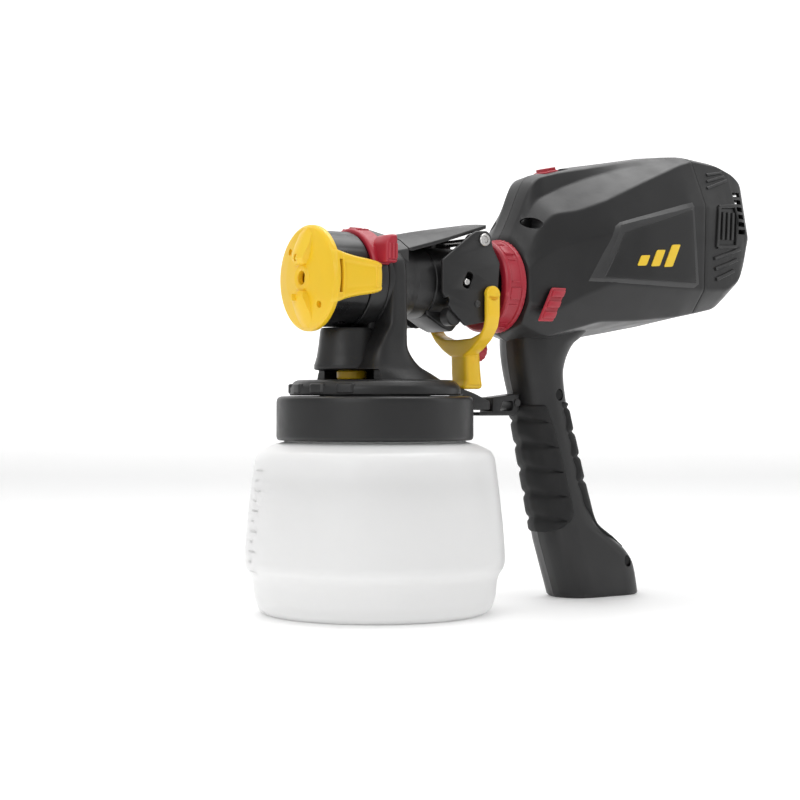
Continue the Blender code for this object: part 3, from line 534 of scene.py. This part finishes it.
def panel(side, name):
    """The raised side panel: a sloping border round a dark plate, the border painted paler as a painted highlight
    where its slope catches the light.
    """
    frame_shape = side_patch(((119, 180), (136.5, 214), (193, 230), (199, 177.5)), side, 1.1, -0.4, 0.07)
    # The border frame takes the paler look, a painted highlight.
    piece(f"side_frame_{name}", frame_shape, "border", "power_unit", sharp=18)
    plate_shape = side_patch(((128.5, 183), (141, 208.5), (190.5, 224.5), (194.5, 181)), side, 1.35, 0.6, 0.012)
    piece(f"side_panel_{name}", plate_shape, "panel", "power_unit", sharp=18)


def mark():
    """A generic yellow sign of three slanted bars on each side panel."""
    for side, name in ((-1, "left"), (1, "right")):
        bars = []
        for k, tall in enumerate((6.0, 9.5, 13.0)):
            x = 150 + 9.5 * k
            lean = tall * 0.45
            low = [(x, 190.0), (x + 6.2, 190.4), (x + 6.2 + lean, 190.4 + tall), (x + lean, 190 + tall)]
            soft = rounded(low, 1.0, 3)
            outer = [(a, side * (side_y(a, b) + 1.75), b) for a, b in soft]
            inner = [(a, side * (side_y(a, b) + 0.8), b) for a, b in soft]
            bars.append(loft([inner, outer]))
        piece(f"side_mark_{name}", merge(*bars), "yellow", "power_unit")


def resampled(points, count):
    points = np.array(points, float)
    length = np.concatenate([[0], np.cumsum(np.linalg.norm(np.diff(points, axis=0), axis=1))])
    at = np.linspace(0, length[-1], count)
    return np.stack([np.interp(at, length, points[:, k]) for k in (0, 1)], 1)


def grip_skin(levels, limit, front, height):
    """A soft panel over the front or rear of the handle: height(z, share) is how far it stands out."""
    outer, inner = [], []
    for z in levels:
        half = np.array(handle_half(z))
        stop = limit(z)
        y_stop = float(np.interp(stop, half[:, 0], half[:, 1]))
        kept = [p for p in half if (p[0] < stop if front else p[0] > stop)]
        kept = [*kept, (stop, y_stop)] if front else [(stop, y_stop), *kept]
        line = resampled(kept if front else kept[::-1], 20)
        ahead = np.gradient(line, axis=0)
        ahead[0] = (0, 1)
        normal = np.stack([-ahead[:, 1], ahead[:, 0]] if front else [ahead[:, 1], -ahead[:, 0]], 1)
        normal /= np.linalg.norm(normal, axis=1)[:, None]
        shares = np.linspace(0, 1, 20)
        stands = np.array([height(z, share) for share in shares])[:, None]
        high, low = line + normal * stands, line - normal * 0.9
        outer.append([(x, -y, z) for x, y in high[:0:-1]] + [(x, y, z) for x, y in high])
        inner.append([(x, -y, z) for x, y in low[:0:-1]] + [(x, y, z) for x, y in low])
    return skin(outer, inner)


def grips():
    """The soft panels on the front and rear of the handle."""
    front_places = (36, 41, 45.5, 49.5, 59, 78, 97, 110, 111.5)
    front_limit = (109, 120, 126, 127.5, 124.8, 119.5, 113.5, 108, 106.5)
    grooves = (104.3, 90.1, 76.0, 61.8, 47.7)

    def front_height(z, share):
        stand = 1.45
        for groove in grooves:
            centre = groove - 3.5 * share
            wide = 2.6 * max(0.02, 1 - (share / 0.86) ** 2)
            stand -= 1.5 * math.exp(-((z - centre) / wide) ** 2)
        edge = min(1.0, (1 - share) * 9, (z - 36) / 1.2, (111.5 - z) / 1.2)
        return max(stand, 0.05) * max(edge, 0) ** 0.5 - 0.5 * (1 - max(edge, 0))

    shape = grip_skin(np.arange(36, 111.6, 0.5), lambda z: float(np.interp(z, front_places, front_limit)), True,
                      front_height)
    piece("finger_grip", shape, "grip", "power_unit", ("front_grip",), sharp=50)
    rear_places = (27, 36, 46, 60, 87, 113)
    rear_limit = (171, 152, 141, 131.5, 124.5, 118.5)
    notches = (111.0, 97.0, 83.0, 69.0)

    def rear_height(z, share):
        stand = 1.45
        for notch in notches:
            stand -= 1.3 * math.exp(-((z - notch + 2 * share) / 1.3) ** 2) * min(1, max(0, (share - 0.1) * 3))
        edge = min(1.0, (1 - share) * 8, (z - 27) / 1.2, (113 - z) / 1.2)
        return max(stand, 0.05) * max(edge, 0) ** 0.5 - 0.5 * (1 - max(edge, 0))

    shape = grip_skin(np.arange(27, 113.1, 0.6),
                      lambda z: float(np.interp(z, rear_places, rear_limit)) + 1.1 * math.sin(z * 0.44), False,
                      rear_height)
    piece("palm_grip", shape, "grip", "power_unit", ("rear_grip",), sharp=50)


def controls():
    """The switch, the slider on top and the release catch."""
    def leaning(x0, x1, z0, z1, near, far, draft=0.0):
        corners = [(x + SWITCH_LEAN * (z - SWITCH_Z), z) for x,
                   z in ((x0, z0), (x1, z0), (x1, z1), (x0, z1))]
        soft = rounded(corners, 0.9, 3)
        middle = (sum(x for x, _ in soft) / len(soft), sum(z for _, z in soft) / len(soft))
        top = [(middle[0] + (x - middle[0]) * (1 - draft), middle[1] + (z - middle[1]) * (1 - draft)) for x,
               z in soft]
        return loft([[(x, far, z) for x, z in soft], [(x, near + 0.4, z) for x, z in soft],
                     [(x, near, z) for x, z in top]])

    parts = [leaning(93.0, 102.6, 157.6, 176.4, -32.2, -30.3, 0.06)]
    parts += [leaning(93.6, 102.0, 159.2 + 6 * k, 162.8 + 6 * k, -33.7, -31.6, 0.25) for k in range(3)]
    piece("on_off_slide", merge(*parts), "red", "power_switch", ("power_switch",), sharp=40)
    parts = [box(114.6, 123.4, -6.5, 6.5, 242.5, 246.1, 0.9)]
    parts += [box(116.2 + 2.4 * k, 117.6 + 2.4 * k, -5.4, 5.4, 245, 247.8, 0.6) for k in range(3)]
    piece("air_power_slide", turned_about(merge(*parts), SLIDER_TILT, SLIDER_PLACE, "Y"), "red",
          "air_slider", ("air_slider",))
    outline = rounded([(66, 105.2), (91.5, 105.2), (94.6, 108), (94.6, 117.6), (76, 115.5), (75.5, 107.2),
                       (66, 107.2)],
                      0.8, 3)
    hole = rounded([(81, 108), (89, 108), (90.5, 110), (90, 113.4), (83, 113.4)], 1.0, 3)
    arm = merge(plate(outline, -6, 6, holes=(hole,), bevel=0.5),
                turned(((0, -6.6), (2, -6.6), (2, 6.6), (0, 6.6)), "Y", (93, 0, 112.5), 24, closed=False))
    piece("release_catch", arm, "panel", "catch_arm", ("catch_arm",))


def lock_ring():
    """The red ring that clamps the attachment, with six blocks and a ribbed rear edge."""
    def ribs(angle, distance):
        return 0.35 * max(0.0, math.cos(angle * 48)) if 81.8 < distance < 83.4 else 0.0

    profile = ((20.6, 70.3), (24.6, 70.3), (26.0, 71.6), (26.0, 73.2), (25.2, 73.6), (25.2, 80.6), (26.1, 81),
               (26.1, 83.6), (25.6, 84), (20.6, 84))
    parts = [turned(rounded(profile, 0.35, 3), steps=192, flute=ribs)]
    for number in range(6):
        block = rounded([(73.4, -3.2), (80.6, -3.2), (80.6, 3.2), (73.4, 3.2)], 1.0, 3)
        block = plate([(a, b) for a, b in block], 24.0, 26.1, "Z", bevel=0.5)
        parts.append(shifted(turned_about(block, 60 * number + 12 - 90, (0, 0, 0)), z=AXIS_Z))
    for number in range(12):
        bar = box(74.4, 79.6, -0.35, 0.35, 24.8, 25.6, 0.2)
        parts.append(shifted(turned_about(bar, 30 * number + 27, (0, 0, 0)), z=AXIS_Z))
    piece("clamp_ring", merge(*parts), "red", "lock_ring", ("lock_ring",))


def rear_cover():
    """The cover over the filter, with air slots and raised ribs."""
    places = [202.0, 202.4, *np.linspace(203.4, 243, 34), 244.2, 245.0]
    insets = [0.7, 0.15] + [0.0] * 34 + [0.3, 1.4]
    rings = [whole_ring(x, section(COVER, x, inset)) for x, inset in zip(places, insets)]
    inner = [whole_ring(x, section(COVER, x, SHELL_WALL)) for x in np.linspace(202, 240.5, 14)]
    inner.insert(0, [(200, y, z) for _, y, z in inner[0]])
    cuts = [loft(inner)]
    slots = [213.4 + 4.5 * number for number in range(6)]
    for side in (-1, 1):
        for z in slots:
            cuts.append(box(228.6, 236, min(side * 30, side * 60), max(side * 30, side * 60), z - 1.4,
                            z + 1.4, 0.2))
    for z in slots:
        cuts.append(box(237.6, 250, -32, 32, z - 1.4, z + 1.4, 0.2))
    cuts.append(box(226, 240, -9, 9, 250.6, 254.5, 0.2))
    piece("rear_cover_shell", loft(rings), "charcoal", "filter_cover", ("filter_cover",), cuts)
    for side, name in ((-1, "left"), (1, "right")):
        bits = []

        def rib(start, end, half=0.75, high=0.8):
            line = [(start[0] + (end[0] - start[0]) * k / 8,
                     start[1] + (end[1] - start[1]) * k / 8) for k in range(9)]
            rings = []
            for depth, shrink in ((-0.8, 0), (high - 0.3, 0), (high, 0.3)):
                middle = along(line, half - shrink)
                rings.append([(a, side * (side_y(a, b, COVER) + depth), b) for a, b in middle])
            bits.append(loft(rings))

        for k in range(3):
            rib((207 + 1.5 * k, 238 - 0.4 * k + 4.6 * k), (226 - 1.5 * k, 244.2 + 2.2 * k))
        for k in range(3):
            rib((209 + k, 196.5 - 6 * k), (232 - 3 * k, 203.5 - 6.6 * k), 1.0, 1.1)
        corners = [(211, 203.5), (212, 227), (227, 228.5), (227.5, 204.5)]
        for a, b in zip(corners, corners[1:] + corners[:1]):
            rib(a, b, 1.0, 1.3)
        for k in range(3):
            rib((215.3 + 3.9 * k, 208), (215.6 + 3.9 * k, 224), 1.05, 1.2)
        piece(f"rear_cover_ribs_{name}", merge(*bits), "panel", "filter_cover")


# Spray attachment

def container():
    """The milky screw-on container, with marks for its contents."""
    wave = [(48.4, 109), (48.4, 91.6), (55, 90.2), (62.5, 86.6), (64.4, 83), (65.2, 78), (67.4, 60), (68.9, 46),
            (69.8, 34), (70, 28), (69.3, 24.4), (66.6, 20.6), (65.6, 17), (64.6, 8), (62.6, 2.4),
            (59.5, 0.35), (57, 0),
            (54, 0.9), (0, 1.1)]
    inside = [(0, 2.1), (57, 2.2), (61.8, 7), (63, 19), (67.6, 28), (64.6, 71), (61.6, 83), (46.4, 90), (46.4, 109)]
    outer = rounded(wave, 1.4, 3, closed=False)
    parts = [turned(list(inside) + outer, "Z", (0, 0, 0), 160, closed=True)]

    def radius_at(z):
        return float(np.interp(z, [p[1] for p in wave[15:0:-1]], [p[0] for p in wave[15:0:-1]]))

    for k in range(11):
        z = 24 + 5.3 * k
        span = 9.0 if k % 2 == 0 else 5.0
        outer_row, inner_row = [], []
        for high in (-0.35, -0.2, 0.2, 0.35):
            lift = 0.12 if abs(high) < 0.3 else -0.1
            row, back = [], []
            for i in range(9):
                angle = math.radians(163 + span * i / 8)
                for stand, out in ((lift, row), (-0.8, back)):
                    r = radius_at(z + high) + (stand if 0 < i < 8 else min(stand, -0.1))
                    out.append((r * math.cos(angle), r * math.sin(angle), z + high))
            outer_row.append(row)
            inner_row.append(back)
        parts.append(skin(outer_row, inner_row))
    piece("paint_container", merge(*parts), "milky", "container", ("container",), sharp=40)


def lid():
    profile = ((30, 116.2), (46.2, 116.2), (50.8, 116.0), (52.6, 115.0), (53, 113), (53, 94.4),
               (52.7, 93.2), (52, 92.5),
               (50.4, 92.5), (50.4, 112.4), (30, 112.4))
    shape = turned(rounded(profile, 1.0, 4), "Z", (0, 0, 0), 160)
    piece("screw_lid", shape, "charcoal", "attachment", ("container_lid",))


# The cape's level rings: height, middle X, half length, half width and how boxy
CAPE = (
    (123, 2, 36, 37.5, 2), (125, 0.6, 32, 36, 2.2), (127, -1, 28, 34, 2.6), (132, -4, 18, 30, 4),
    (140, -5, 12, 27, 5),
    (148, -3.0, 8.6, 25.6, 6), (156, -0.9, 6.4, 25.3, 6), (178, -0.9, 5.8, 25.3, 6), (186, -0.9, 6.2, 24.6, 5),
    (192, -0.9, 6.2, 20.5, 4),
)


def casting():
    """Cape, collar, suction pipe, tail and lugs, then the barrel."""
    levels = np.linspace(123, 192, 70)
    rows = through([row[0] for row in CAPE], [row[1:] for row in CAPE], levels)
    rings = []
    for z, (centre, long, wide, power) in zip(levels, rows):
        ring = []
        for i in range(144):
            c, d = math.cos(math.pi * i / 72), math.sin(math.pi * i / 72)
            reach = (abs(c) ** power + abs(d) ** power) ** (-1 / power)
            ring.append((centre + long * reach * c, wide * reach * d, z))
        rings.append(ring)
    gap = box(-60, -6.6, -24, 24, 124.0, 130.2, 0.8)
    front_gap = box(-60, -17, -60, 60, 124.0, 130.2, 0.8)
    piece("cape", loft(rings), "charcoal", "attachment", ("attachment_body",), [gap, front_gap], sharp=28)
    collar = ((0, 124.7), (41.6, 124.7), (43.6, 123.8), (45.6, 121.2), (46, 120), (46, 117.0),
              (45.6, 116.45), (29.6, 116.45), (29.6, 112.9), (0, 112.9))
    parts = [turned(rounded(collar, 0.8, 3, closed=False), "Z", (0, 0, 0), 128, closed=False)]
    for degrees in (150, 172, 194, 216):
        lobe = rounded([(40.5, -6), (45.7, -5), (46.6, -3.5), (46.6, 3.5), (45.7, 5), (40.5, 6)], 1.2, 3)
        lobe = plate(lobe, 117.4, 122.6, "Z", bevel=0.9)
        parts.append(turned_about(lobe, degrees, (0, 0, 0), "Z"))
    suction = ((0, 152.3), (13.9, 152.3), (14.4, 150.4), (15.1, 144), (16.2, 137), (17.2, 133.6),
               (17.6, 132.6), (17.6, 130.4),
               (16.8, 130.0), (0, 130.0))
    parts.append(turned(rounded(suction, 0.7, 3, closed=False), "Z", SUCTION, 64, closed=False))
    parts.append(plate(rounded([(-18, 130.6), (4, 130.6), (4, 160), (-9, 160), (-12, 152), (-18, 152)], 1,
                               3), -11, 11, bevel=1.5))
    post = ((0, 152), (3.2, 152), (3.2, 124), (0, 124))
    parts.append(turned(post, "Z", SUCTION, 24, closed=False))
    tail = rounded([(22, 118), (54.4, 117), (57, 112), (62, 108.4), (73, 108.4), (73, 113.2), (62, 117.8),
                    (44, 123.2),
                    (22, 126.6)], 1.4, 3)
    parts.append(plate(tail, -7.3, 7.3, bevel=0.8))
    rear_block = rounded([(26, 160), (37, 153.6), (43.5, 151), (48, 156), (48, 164), (26, 164)], 2, 4)
    parts.append(plate(rear_block, -11, 11, bevel=1.2))
    shoulder = []
    for x, crest, edge, wide in ((-7.3, 205.2, 190.6, 18.6), (-6.7, 206.3, 191.5, 19.8), (8.6, 202.8, 194.6, 19.2)):
        brow = edge + 0.62 * (crest - edge)
        ring = [(x, -wide, 184), (x, -wide, edge), (x, -0.55 * wide, brow), (x, 0, crest), (x, 0.55 * wide, brow),
                (x, wide, edge), (x, wide, 184)]
        shoulder.append(rounded(ring, 0.9, 3))
    parts.append(loft(shoulder))
    for side in (-1, 1):
        lug = [(46, 190), (51.2, 203), *circle((55.3, 201.2), 4.2, 12, 130, 0), (62, 190)]
        parts.append(plate(lug, min(side * 12, side * 18), max(side * 12, side * 18), bevel=0.8))
        boss = turned(((0, -22.6), (4.5, -22.6), (5, -21.8), (5, -16), (0, -16)), "Y", (36.5, 0, 159), 32,
                      closed=False)
        parts.append(boss if side < 0 else mirrored(boss))
    piece("casting_body", merge(*parts), "charcoal", "attachment", ("attachment_body",))
    profile = ((5.3, -18.4), (19.2, -18.7), (19.5, -18.2), (19.5, -7.7), (24.8, -7.7), (25.2, -7.2),
               (25.2, -3.4), (24.6, -1.5),
               (20.2, 13), (19.5, 16), (19.5, 26), (19.1, 26.4), (19.1, 27.2), (19.5, 27.6), (19.5, 65.4), (19, 66),
               (14.5, 66), (14.5, -6), (5.3, -6))
    slot = box(41.9, 53.7, -30, 30, 175.6, 180.4, 1.0)
    piece("barrel", turned(rounded(profile, 0.35, 3)), "charcoal", "attachment", ("attachment_body",), [slot])
    disc = turned(rounded(((0, 125), (7.4, 125), (8, 125.6), (8, 129.1), (7.4, 129.7), (0, 129.7)), 0.3, 3,
                          False), "Z",
                  (-15, 0, 0), 48, closed=False)
    piece("yellow_vent_disc", disc, "yellow", "attachment", ("vent_disc",))
    sleeve = turned(((14.5, 66.3), (17.5, 66.3), (17.5, 104), (14.5, 104)), round_by=0.5)
    piece("push_sleeve", sleeve, "charcoal", "attachment", ("coupling_sleeve",))
    pin = merge(turned(((0, -25.4), (1.6, -25.4), (2, -25.0), (2, 25.0), (1.6, 25.4), (0, 25.4)), "Y",
                       PIVOT, 32, False),
                turned(((1.9, -25.8), (3.1, -25.8), (3.4, -25.4), (3.4, -24.6), (1.9, -24.6)), "Y", PIVOT,
                       40, True))
    piece("pivot_pin", pin, "steel", "attachment", ("trigger_pin",))


def hood():
    """The folded plate over the trigger's upper end."""
    places = np.linspace(9, 60, 26)
    rows = through((9, 28, 60), ((203, 195, 19.2), (206.5, 200.2, 20), (211.5, 210, 20)), places)
    rings = []
    for i, (x, (crest, edge, wide)) in enumerate(zip(places, rows)):
        lift = 2.2 if 0 < i else 1.4
        top = [(x, -wide, edge), (x, -wide * 0.55, edge + (crest - edge) * 0.62), (x, -wide * 0.14, crest - 0.1),
               (x, 0, crest), (x, wide * 0.14, crest - 0.1), (x, wide * 0.55, edge + (crest - edge) * 0.62),
               (x, wide, edge)]
        rings.append(rounded(top + [(x, y, z - lift) for _, y, z in top[::-1]], 0.7, 3))
    piece("hood", loft(rings), "charcoal", "attachment", ("roof_cover",), sharp=25)


def spray_head():
    """Union nut, nozzle, air cap with its tab, and the ring that sets the width of the spray."""
    def flutes(angle, distance):
        return -0.18 * max(0.0, math.cos(angle * 20)) ** 6 if -37.8 < distance < -19.6 else 0.0

    nut = ((13, -19), (24.8, -19), (25.4, -19.8), (25.4, -37.6), (23.8, -39.6), (15, -39.6), (15, -36), (13, -36))
    piece("front_union_nut", turned(rounded(nut, 0.4, 3), steps=144, flute=flutes), "gloss", "attachment",
          ("union_nut",))
    nozzle = ((2.2, -43), (3.2, -43), (8.5, -36.5), (12, -36.5), (12, -19), (5, -19), (5, -34), (2.2, -36))
    piece("fluid_nozzle", turned(rounded(nozzle, 0.3, 3), steps=64), "yellow", "attachment", ("nozzle",))
    cap = ((3.6, -46.6), (4.6, -47.3), (6.6, -47.3), (7.4, -46.4), (17, -45.4), (23.4, -44.2),
           (26.4, -43.6), (28, -42.2),
           (28, -39.9), (14, -39.9), (14, -37.5), (10.5, -37.5), (4.6, -42.6), (3.6, -43.8))
    cuts = []
    for side, name in ((-1, "lower"), (1, "upper")):
        rings = []
        for r, half, front in ((6.4, 2.6, 46.9), (7.2, 4.0, 49.8), (10, 5.4, 51.0), (14, 6.4, 49.6),
                               (18.5, 6.8, 47.6),
                               (23.5, 6.2, 45.5), (26.4, 4.6, 43.8)):
            back, shoulder = 43.2, half * 0.4
            ring = [(-back, -half - 1.4), (-front + 1.6, -half), (-front, -shoulder), (-front, shoulder),
                    (-front + 1.6, half), (-back, half + 1.4)]
            rings.append([(x, y, side * r) for x, y in ring])
        slit = box(-53, -47.4, -0.8, 0.8, min(side * 8.6, side * 12.2), max(side * 8.6, side * 12.2), 0.2)
        piece(f"air_cap_horn_{name}", shifted(loft(rings), z=AXIS_Z), "yellow", "air_cap", (),
              [shifted(slit, z=AXIS_Z)], sharp=24)
        centre = (0, -14.2 * side, AXIS_Z - 14.4 * side)
        cuts.append(turned(((0, -48), (1.9, -48), (1.9, -42.6), (0, -42.6)), "X", centre, 24, closed=False))
    piece("air_cap_disc", turned(rounded(cap, 0.35, 3), steps=128), "yellow", "air_cap", ("air_cap",), cuts,
          sharp=24)
    outer, inner = [], []
    rows = ((-43.4, 26.0, 24.6, 13.5), (-41.6, 28.4, 25.2, 13.4), (-39, 28.8, 26.4, 12.6), (-36, 29.3, 27.0, 11.6),
            (-30, 29.9, 28.2, 10.2), (-24, 30.5, 28.8, 9.2), (-19, 30.9, 29.2, 8.2), (-16.4, 30.6, 29.3, 7.4))
    places = np.linspace(-43.4, -16.4, 60)
    for x, (far, near, half) in zip(places, through([r[0] for r in rows], [r[1:] for r in rows], places)):
        outer_row, inner_row = [], []
        for k in range(-12, 13):
            share = k / 12
            z = AXIS_Z + half * share
            bow = 1.6 * (half / 13) * share * share
            hollow = 0.5 if abs(share) < 0.62 and -37.5 < x < -20 else 0.0
            rim = 0.5 if abs(abs(share) - 0.83) < 0.1 and x > -38.5 else 0.0
            edge = 0.7 if abs(share) == 1 else 0.0
            outer_row.append((x, -(far - bow - hollow + rim - edge), z))
            inner_row.append((x, -(near - bow - 0.6), z))
        outer.append(outer_row)
        inner.append(inner_row)
    slot = box(-40.8, -38.9, -40, -20, AXIS_Z - 8.6, AXIS_Z + 8.6, 0.3)
    piece("air_cap_tab", skin(outer, inner), "yellow", "air_cap", (), [slot], sharp=40)

    band = ((19.9, -18.4), (25.0, -18.4), (25.4, -17.8), (25.4, -8.6), (25.0, -8.0), (19.9, -8.0))
    piece("pattern_ring_band", turned(rounded(band, 0.4, 3), steps=144), "charcoal", "spray_width_ring",
          ("spray_width_ring",))
    profile = rounded([(24.0, -18.4), (26.4, -18.4), (27.5, -17.2), (27.5, -9.2), (26.4, -8.0),
                       (24.0, -8.0)], 0.6, 4)
    rings = []
    for degrees in (60, 60.8, *np.linspace(62, 162, 60), 163.2, 164):
        a = math.radians(degrees)
        low = 0.5 if degrees in (60, 164) else 0.0
        rings.append([(x, (r - low) * math.cos(a), (r - low) * math.sin(a)) for r, x in profile])
    lever = rounded([(-15.2, 7.6), (-7.9, 7.6), (-7.9, 22.4), (-12.2, 22.4), (-15.2, 18)], 1.4, 4)
    ridges = [box(-13.9 + 2.2 * k, -12.9 + 2.2 * k, -33.85, -31, 187.8, 195.6, 0.3) for k in range(3)]
    grip_bars = [turned_about(box(-17, -9.4, 26.6, 28.1, -0.7, 0.7, 0.35), degrees,
                              (0, 0, 0)) for degrees in (78, 92, 106)]
    parts = [loft(rings), plate(lever, -33.4, -19.0, bevel=1.6), *grip_bars]
    piece("pattern_ring", merge(shifted(merge(*parts), z=AXIS_Z), *ridges), "red", "spray_width_ring")


def needle():
    """The needle with its head and peg, and the coil spring behind it."""
    rod = turned(((0, -43.8), (0.5, -43.6), (1.7, -38), (1.7, 47.2), (1.4, 47.5), (0, 47.5)), steps=32,
                 closed=False)
    head = turned(rounded(((0, 40.3), (9.6, 40.3), (10, 40.7), (10, 47.4), (9.6, 47.8), (0, 47.8)), 0.2, 3,
                          False), steps=48,
                  closed=False)
    peg = turned(((0, -24.2), (1.4, -24.2), (1.8, -23.8), (1.8, 23.8), (1.4, 24.2), (0, 24.2)), "Y",
                 (PEG_X, 0, AXIS_Z), 24,
                 False)
    piece("needle_and_peg", merge(rod, head, peg), "steel", "needle", ("needle",))
    turns, count = 6.0, 140
    path = []
    for i in range(count + 1):
        a = 2 * math.pi * turns * i / count
        path.append((48.9 + 12.5 * i / count, 5.6 * math.cos(a), AXIS_Z + 5.6 * math.sin(a)))
    spring = piece("coil_spring", tube(path, 0.7, 10), "steel", "attachment", ("needle_spring",))
    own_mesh(spring)


def trigger():
    """Cheek plates, lever and the adjusting knob."""
    outline = rounded([
        (27.4, 189.3), (47.5, 204.2), (50.5, 206), (57.7, 206.3), (60.2, 204), (61.8, 197), (66.6, 189),
        (65.2, 174.5),
        (61, 157.5), (43, 154), (39.6, 156.7), (34, 161.5), (31.2, 165.3), (32.4, 167.4), (30.8, 169.6),
        (29.2, 168.6),
        (27.4, 171.5)], 1.0, 3)
    slot_turn = math.atan2(PIVOT[0] - PEG_X, PIVOT[2] - AXIS_Z)
    slot = []
    for a, b in rounded([(-2.3, -3.5), (2.3, -3.5), (2.3, 5.5), (-2.3, 5.5)], 1.8, 5):
        slot.append((PEG_X + a * math.cos(slot_turn) + b * math.sin(slot_turn),
                     AXIS_Z - a * math.sin(slot_turn) + b * math.cos(slot_turn)))
    eye = circle((PIVOT[0], PIVOT[2]), 2.3, 24)
    for name, side in (("left", -1), ("right", 1)):
        body = plate(outline, min(side * 22, side * 24.5), max(side * 22, side * 24.5), holes=(slot, eye),
                     bevel=0.9)
        dot = turned(((0, -25.3), (1.5, -25.3), (1.9, -24.9), (1.9, -24), (0, -24)), "Y", (50.8, 0, 166.2),
                     28, False)
        piece(f"cheek_plate_{name}", merge(body, dot if side < 0 else mirrored(dot)), "charcoal", "trigger",
              (f"cheek_{name}",))
    finger = [(56.2, 147), (55.6, 138), (55.8, 129), (56.2, 124), (54.2, 121.4), (55.2, 120), (66.8, 120),
              (68.2, 121.6),
              (67.4, 126), (66.6, 134), (66.2, 141), (66.0, 147)]
    finger = plate(rounded(finger, 1.6, 4), -7.4, 7.4, bevel=2.4)
    half = [(28.2, 172), (28.2, 160), (26.4, 153.4), (21, 147), (13, 141.4), (6, 138)]
    back = [(0, 147.5), (12, 148), (20.5, 150.5), (23.4, 153), (24.8, 157), (24.8, 172)]
    yoke = half + [(-y, z) for y, z in half[::-1]] + [(-y, z) for y, z in back[:0:-1]] + back
    arms = plate(rounded(yoke, 1.6, 4), 54.6, 63.8, "X", bevel=1.3)
    end = rounded(((0, 24.8), (4.6, 24.8), (4.6, 28.2), (0, 28.2)), 1.0, 4, False)
    end = turned(end, "Y", (59.2, 0, 171.6), 40, closed=False)
    piece("finger_lever", merge(finger, arms, end, mirrored(end)), "yellow", "trigger", ("trigger_lever",),
          sharp=35)

    def knob_flutes(angle, distance):
        return -0.35 * max(0.0, math.cos(angle * 12)) if distance > 1.2 else 0.0

    knob = turned(rounded(((0, 0), (5, 0), (5.4, 0.8), (5.8, 4.6), (5.2, 5.3), (0, 5.3)), 0.3, 3, False),
                  "X", (0, 0, 0), 96,
                  closed=False, flute=knob_flutes)
    knob = turned_about(knob, 10.7, (0, 0, 0), "Y")
    piece("flow_dial", shifted(knob, 67.2, 0, 142), "red", "flow_knob", ("flow_knob",))


# Stage, lights and camera

def studio():
    """A white sweep, the sky, soft lights and the camera."""
    rings = []
    for x in (-2.6, 2.6):
        line = [(-2.6, 0)] + [(1.6 + 0.8 * math.sin(t), 0.8 - 0.8 * math.cos(t)) for t in np.linspace(0,
                                                                                           math.pi / 2, 24)]
        line.append((2.4, 3.2))
        rings.append([(x, y, z) for y, z in line])
    points = [tuple(c / MM for c in p) for ring in rings for p in ring]
    count = len(rings[0])
    faces = [(i, i + 1, count + i + 1, count + i) for i in range(count - 1)]
    sweep = mesh_object("studio_sweep", (points, faces))
    sweep.rotation_euler = (0, 0, -VIEW_TURN)
    sweep.data.shade_smooth()
    white = bpy.data.materials.new("studio_white")
    white.use_nodes = True
    tree = white.node_tree
    shader = tree.nodes["Principled BSDF"]
    tint = mixed(tree, between(tree, noise(tree, 3), 0, 1), (0.9, 0.9, 0.9), (0.93, 0.93, 0.93))
    tree.links.new(tint, shader.inputs["Base Color"])
    shader.inputs["Roughness"].default_value = 0.6
    shader.inputs["Emission Color"].default_value = (1, 1, 1, 1)
    height = node(tree, "ShaderNodeSeparateXYZ")
    tree.links.new(node(tree, "ShaderNodeTexCoord").outputs["Object"], height.inputs["Vector"])
    glow = between(tree, height.outputs["Z"], FLOOR_GLOW, WALL_GLOW, 0.0, 0.11)
    tree.links.new(glow, shader.inputs["Emission Strength"])
    sweep.data.materials.append(white)
    world = bpy.data.worlds.new("studio")
    world.use_nodes = True
    world.node_tree.nodes["Background"].inputs["Color"].default_value = (1, 1, 1, 1)
    world.node_tree.nodes["Background"].inputs["Strength"].default_value = WORLD_LIGHT
    SCENE.world = world
    target = Vector((0.08, 0, 0.15))
    for name, place, size, power in SOFTBOXES:
        data = bpy.data.lights.new(name, "AREA")
        data.shape, data.size, data.size_y, data.energy = "RECTANGLE", size[0], size[1], power
        light = bpy.data.objects.new(name, data)
        light.location = place
        light.rotation_euler = (target - Vector(place)).to_track_quat("-Z", "Y").to_euler()
        SCENE.collection.objects.link(light)
    lens = bpy.data.cameras.new("camera")
    lens.lens, lens.sensor_width = 81.63, 36
    camera = bpy.data.objects.new("camera", lens)
    camera.location = (-0.5492, -0.8078, 0.114)
    ahead = Vector((math.sin(VIEW_TURN), math.cos(VIEW_TURN), 0))
    camera.rotation_euler = ahead.to_track_quat("-Z", "Y").to_euler()
    SCENE.collection.objects.link(camera)
    SCENE.camera = camera
    SCENE.view_settings.view_transform = "Standard"


studio()
housing()
grips()
controls()
lock_ring()
rear_cover()
container()
lid()
casting()
hood()
spray_head()
needle()
trigger()
bpy.context.view_layer.update()
